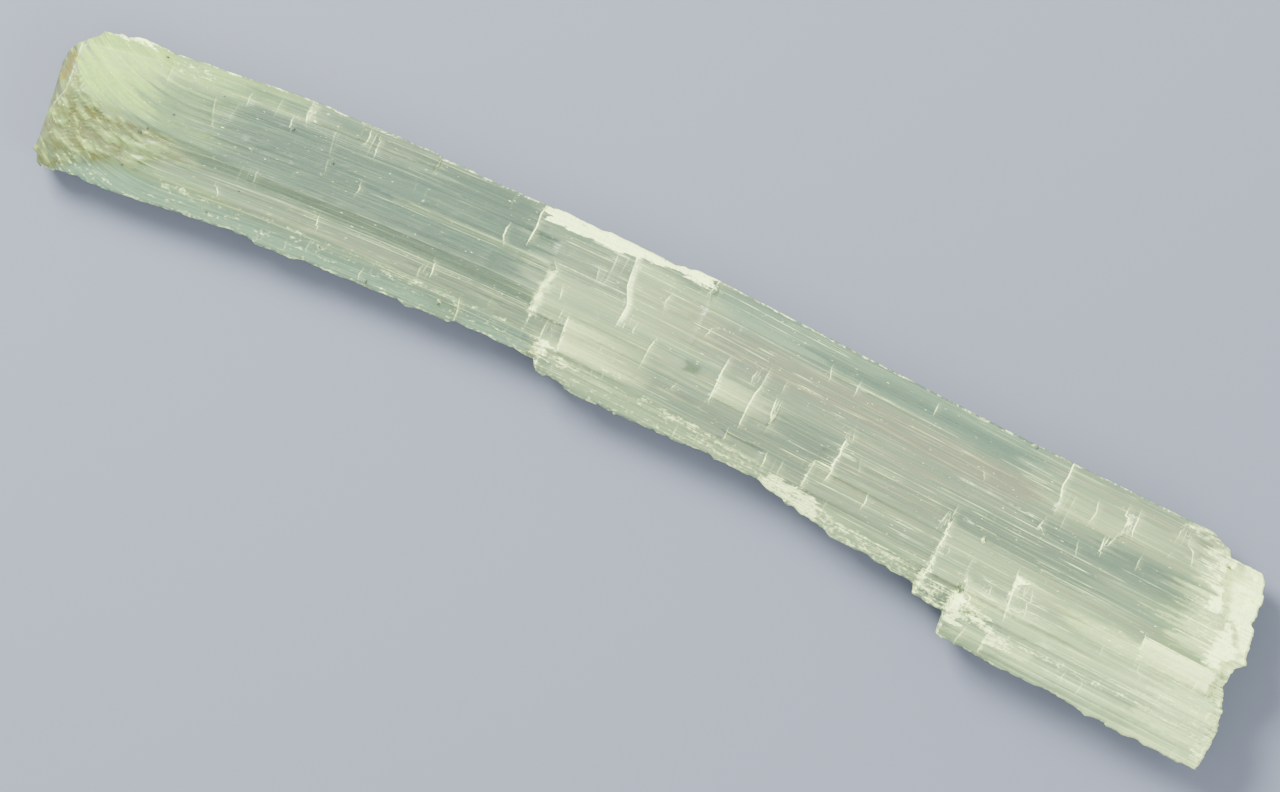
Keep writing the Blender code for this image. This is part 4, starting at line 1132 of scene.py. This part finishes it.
# %% White: frost, cracks, bright fibres and glints
silky = tree.mark("silky")
combing = tree.times(tree.math("SUBTRACT", silk, 0.5), tree.line(silky, 0.95, 0.55))
grains = tree.math("ADD", sugar, tree.line(clumps, 1.2, -1.1))
ragged = tree.math("ADD", combing, tree.times(grains, tree.line(silky, -0.75, 1.0)))
frost = tree.ramp(tree.math("ADD", tree.mark("frost"), ragged), 0.38, 0.88)

right_of = tree.math("ADD", tree.mark("crack"), tree.line(sugar, 0.16, -0.08))
strength = tree.mark("crack_strength")
core = tree.ramp(tree.math("ABSOLUTE", right_of), 0.05, 0.14, 1.3, 0.0)
core = tree.times(tree.varied(core, clouds, 0.35, 0.6, 0.35, 1.1), tree.math("MINIMUM", strength, 1.0))
glow = tree.varied(tree.ramp(right_of, 0.05, 1.4, 0.18, 0.0), right_of, -0.1, 0.0)
glow = tree.times(tree.varied(glow, strands, 0.35, 0.65, 0.4, 1.2), strength)

thread = tree.ramp(tree.math("ABSOLUTE", tree.mark("fibre")), 0.01, 0.10, 1.0, 0.0)
thread = tree.varied(tree.times(thread, tree.mark("fibre_strength")), clouds, 0.35, 0.6, 0.3, 1.0)
# glints are painted highlights: small bright dashes, in clumps
glint = tree.varied(tree.ramp(glints, 0.68, 0.75, 0.0, 0.9), clumps, 0.50, 0.62)
white = tree.most(core, glow, glint, thread, frost)
print(len(tree.nodes), "nodes with the white parts")

# %% [markdown]
# ## Colours, one over the other
# They are mixed from the milky ground up to the white of frost and cracks. The torn part gets dark
# creases and pale flakes from a noise of its own, which also bumps its fine relief: the dark of the
# creases is painted shade and the pale of the flakes partly painted highlight. Clear parts let more
# light through, and frost hardly any.

# %% Each tint's share: its mark, made uneven by a noise between the two factors
UNEVEN = {
    "clear": (strands, 0.8, 1.1), "warm": (bands, 0.6, 1.1), "dark": (strands, 0.8, 1.1),
    "stain": (clouds, 0.6, 1.1), "pale": (bands, 0.55, 0.85), "icy": (bands, 0.7, 1.1),
}
share = {k: tree.varied(tree.mark(k), by, 0.3, 0.7, low, high) for k, (by, low, high) in UNEVEN.items()}
cream = tree.varied(tree.mark("cream"), clumps, 0.3, 0.6, 0.75, 1.05)
cream = tree.varied(cream, strands, 0.35, 0.65, 0.90, 1.04)
cream = tree.varied(cream, sugar, 0.36, 0.64, 0.80, 1.04)
torn = tree.varied(tree.mark("torn"), clouds, 0.35, 0.6, 0.45, 1.1)
milky = tree.times(tree.line(share["clear"], -0.8, 1.0), tree.line(share["dark"], -0.8, 1.0))
gritty = tree.line(silk, 0.65, tree.times(sugar, 0.35))
print("uneven tints:", ", ".join(share))

# %% Colours, each mixed over the ones before it
colour = tree.mix(tree.ramp(strands, 0.3, 0.75), MILK, BUFF)
for amount, tint in (
    (share["warm"], BUFF),
    (cream, CREAM),
    (share["clear"], COOL),
    # painted shade in the dark patches
    (share["dark"], SHADE),
    (share["icy"], ICE),
    (tree.varied(tree.ramp(strands, 0.33, 0.5, 0.22, 0.0), cream, 0.0, 0.6, 1.0, 0.3), COOL),
    (share["pale"], SNOW),
    # painted sheen: streaks of snow along the silk noise, where the crystal is milky
    (tree.varied(milky, silk, 0.5, 0.75, 0.0, 0.24), SNOW),
    (tree.ramp(bands, 0.35, 0.65, 0.2, 0.0), COOL),
    (share["stain"], BROWN),
    # painted shade in the creases of the splinter relief, and painted highlight on its ridges
    (tree.varied(torn, splinters, 0.38, 0.50, 0.65, 0.0), UMBER_AND_CREASE_SHADE),
    (tree.varied(torn, splinters, 0.52, 0.64, 0.0, 0.6), STRAW_AND_HIGHLIGHT),
    (white, SNOW),
    (tree.ramp(gritty, 0.38, 0.51, 0.27, 0.0), MILK),
    (tree.times(tree.mark("rust"), 0.95), ORANGE),
):
    colour = tree.mix(amount, colour, tint)
print(len(tree.nodes), "nodes with the colours")

# %% Light through the crystal, its gloss and its fine relief
see_through = tree.times(tree.line(share["clear"], 0.35, 0.30), tree.math("SUBTRACT", 1.0, white))
gloss = tree.ramp(tree.most(white, cream), 0.0, 1.0, 0.30, 0.62)
sugary, splintered = tree.times(sugar, frost), tree.times(splinters, torn)
normal = tree.bump((silk, 0.00009), (strands, 0.00012), (sugary, 0.00015), (splintered, 0.00045))
tree.set(Base_Color=colour, Roughness=gloss, IOR=1.52, Transmission_Weight=see_through, Normal=normal)
crystal.data.materials.append(tree.material)
print(len(tree.nodes), "nodes in the crystal's material")

# %% [markdown]
# ## Specks of dirt
# A few dark specks and two short hairs lie on the faces, as dust does on a specimen that has been
# in a drawer. Each is a small lump pressed flat on the surface, with its height taken from the same
# numbers as the skin below it.

# %% Specks, as (s, v, length, width, turn in degrees)
SPECKS = [
    (14.2, 12.4, 0.5, 0.35, 20), (15.6, 0.5, 0.95, 0.6, -35), (16.5, 1.3, 0.5, 0.3, 60),
    (19.1, 4.5, 0.45, 0.35, 10), (15.4, -5.1, 0.5, 0.4, 45), (29.8, -7.7, 0.6, 0.35, -20),
    (32.9, -3.1, 0.35, 0.25, 0), (36, 8.5, 0.55, 0.45, 30), (43.6, 5.9, 0.6, 0.45, -50),
    (47.4, -6.6, 0.35, 0.25, 15), (67.1, -7.6, 0.5, 0.4, 70), (55.9, -8.8, 1.5, 0.28, 84),
    (156.9, 12.6, 0.8, 0.25, 60), (24.6, 9.6, 0.3, 0.2, 0),
]


def height_on(s, v):
    """Height of the skin at (s, v): that of the grid point nearest to it."""
    nearest = np.argmin((top_s - s) ** 2 + (top_v - v) ** 2)
    return top_z.ravel()[nearest]


print(len(SPECKS), "specks")

# %% Lumps pressed flat on the skin
RINGS, SIDES = 4, 14
speck_points, speck_faces = [], []
for k, (s, v, length, width, turn) in enumerate(SPECKS):
    around = np.linspace(0, 2 * np.pi, SIDES, endpoint=False)
    bulge = 1 + 0.22 * np.sin(3 * around + k) + 0.15 * np.sin(5 * around + 2 * k)
    lift = np.linspace(0.0, 1.0, RINGS)[:, None]
    size = np.sqrt(1 - lift**3 * 0.7) * bulge
    x, y = size * np.cos(around) * length / 2, size * np.sin(around) * width / 2
    turned = math.radians(turn)
    cos, sin = math.cos(turned), math.sin(turned)
    z = height_on(s, v) - 0.10 + 0.45 * lift * np.sqrt(width) + 0 * x
    first = len(speck_points)
    speck_points.extend(placed(s + x * cos - y * sin, v + x * sin + y * cos, z).reshape(-1, 3).tolist())
    for ring in range(RINGS - 1):
        for j in range(SIDES):
            a, b = first + ring * SIDES + j, first + ring * SIDES + (j + 1) % SIDES
            speck_faces.append((a, b, b + SIDES, a + SIDES))
    speck_faces.append(tuple(first + (RINGS - 1) * SIDES + j for j in range(SIDES)))
    speck_faces.append(tuple(first + j for j in reversed(range(SIDES))))
speck_mesh = bpy.data.meshes.new("dirt_specks")
speck_mesh.from_pydata(speck_points, [], speck_faces)
speck_mesh.shade_smooth()
specks = shown("dirt_specks", speck_mesh)
print(len(speck_points), "points in the specks")

# %% Dirt
dirt = Tree("dirt")
dirt_noise = dirt.noise(dirt.new("TexCoord").outputs["Object"], (2600.0,) * 3)
dirt.set(Base_Color=dirt.mix(dirt_noise, (0.015, 0.02, 0.02), (0.09, 0.10, 0.09)), Roughness=0.8)
specks.data.materials.append(dirt.material)
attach(specks, "root")
print(len(dirt.nodes), "nodes in the dirt's material")

# %% [markdown]
# ## Floor, light and camera
# A plain pale floor, a little darker and cooler than the blade, lets its pale edge stand out. A
# large soft light from the left and above grazes the ledges, and a paler sky fills the shadows. The
# camera looks straight down through a long lens, so the blade isn't distorted.

# %% Floor
HALF = 2.0  # of the floor's width, in metres
floor_mesh = bpy.data.meshes.new("floor")
floor_corners = [(-HALF, -HALF, 0), (HALF, -HALF, 0), (HALF, HALF, 0), (-HALF, HALF, 0)]
floor_mesh.from_pydata(floor_corners, [], [(0, 1, 2, 3)])
floor = shown("floor", floor_mesh)
floor.location.z = -0.0003  # just below the blade, so the two never share a plane
ground = Tree("floor")
ground.set(Base_Color=(0.135, 0.135, 0.22), Roughness=0.9, Specular_IOR_Level=0.2)
floor.data.materials.append(ground.material)
print("floor", 2 * HALF, "m wide")

# %% Lights
TILT = math.radians(27.17)  # of the blade's axis in the view
RIGHT = np.array([math.cos(TILT), math.sin(TILT)])
UP = np.array([-math.sin(TILT), math.cos(TILT)])


def lamp(name, across, up, height, energy, size, colour):
    """A square area light, placed by view directions in metres, that points at the blade."""
    light = bpy.data.lights.new(name, "AREA")
    light.energy, light.size, light.color = energy, size, colour
    lamp_object = shown(name, light)
    x, y = across * RIGHT + up * UP
    lamp_object.location = (x, y, height)
    aim = math.atan2(math.hypot(x, y), height)
    lamp_object.rotation_euler = (aim, 0.0, math.atan2(y, x) + math.pi / 2)


lamp("key", -0.36, 0.50, 0.58, 34.0, 0.35, (0.96, 1.08, 0.80))
lamp("fill", 0.5, -0.4, 0.6, 5.8, 0.5, (0.96, 1.08, 0.88))
world = bpy.data.worlds.new("sky")
world.use_nodes = True
world.node_tree.nodes["Background"].inputs["Color"].default_value = (0.95, 1.08, 0.88, 1.0)
world.node_tree.nodes["Background"].inputs["Strength"].default_value = 1.6
bpy.context.scene.world = world
print("two lamps and a sky")

# %% Camera
FRAME_WIDTH, AT_HEIGHT = 0.192, 0.010  # what the view takes in, at the height of the main face
VIEW_MIDDLE = (0.00014, -0.004465)  # x and y, in metres
lens = bpy.data.cameras.new("camera")
lens.lens, lens.sensor_width = 200.0, 36.0
camera = shown("camera", lens)
camera.location = (*VIEW_MIDDLE, AT_HEIGHT + FRAME_WIDTH * lens.lens / lens.sensor_width)
camera.rotation_euler = (0.0, 0.0, TILT)
bpy.context.scene.camera = camera
print(f"camera {camera.location.z:.3f} m up")
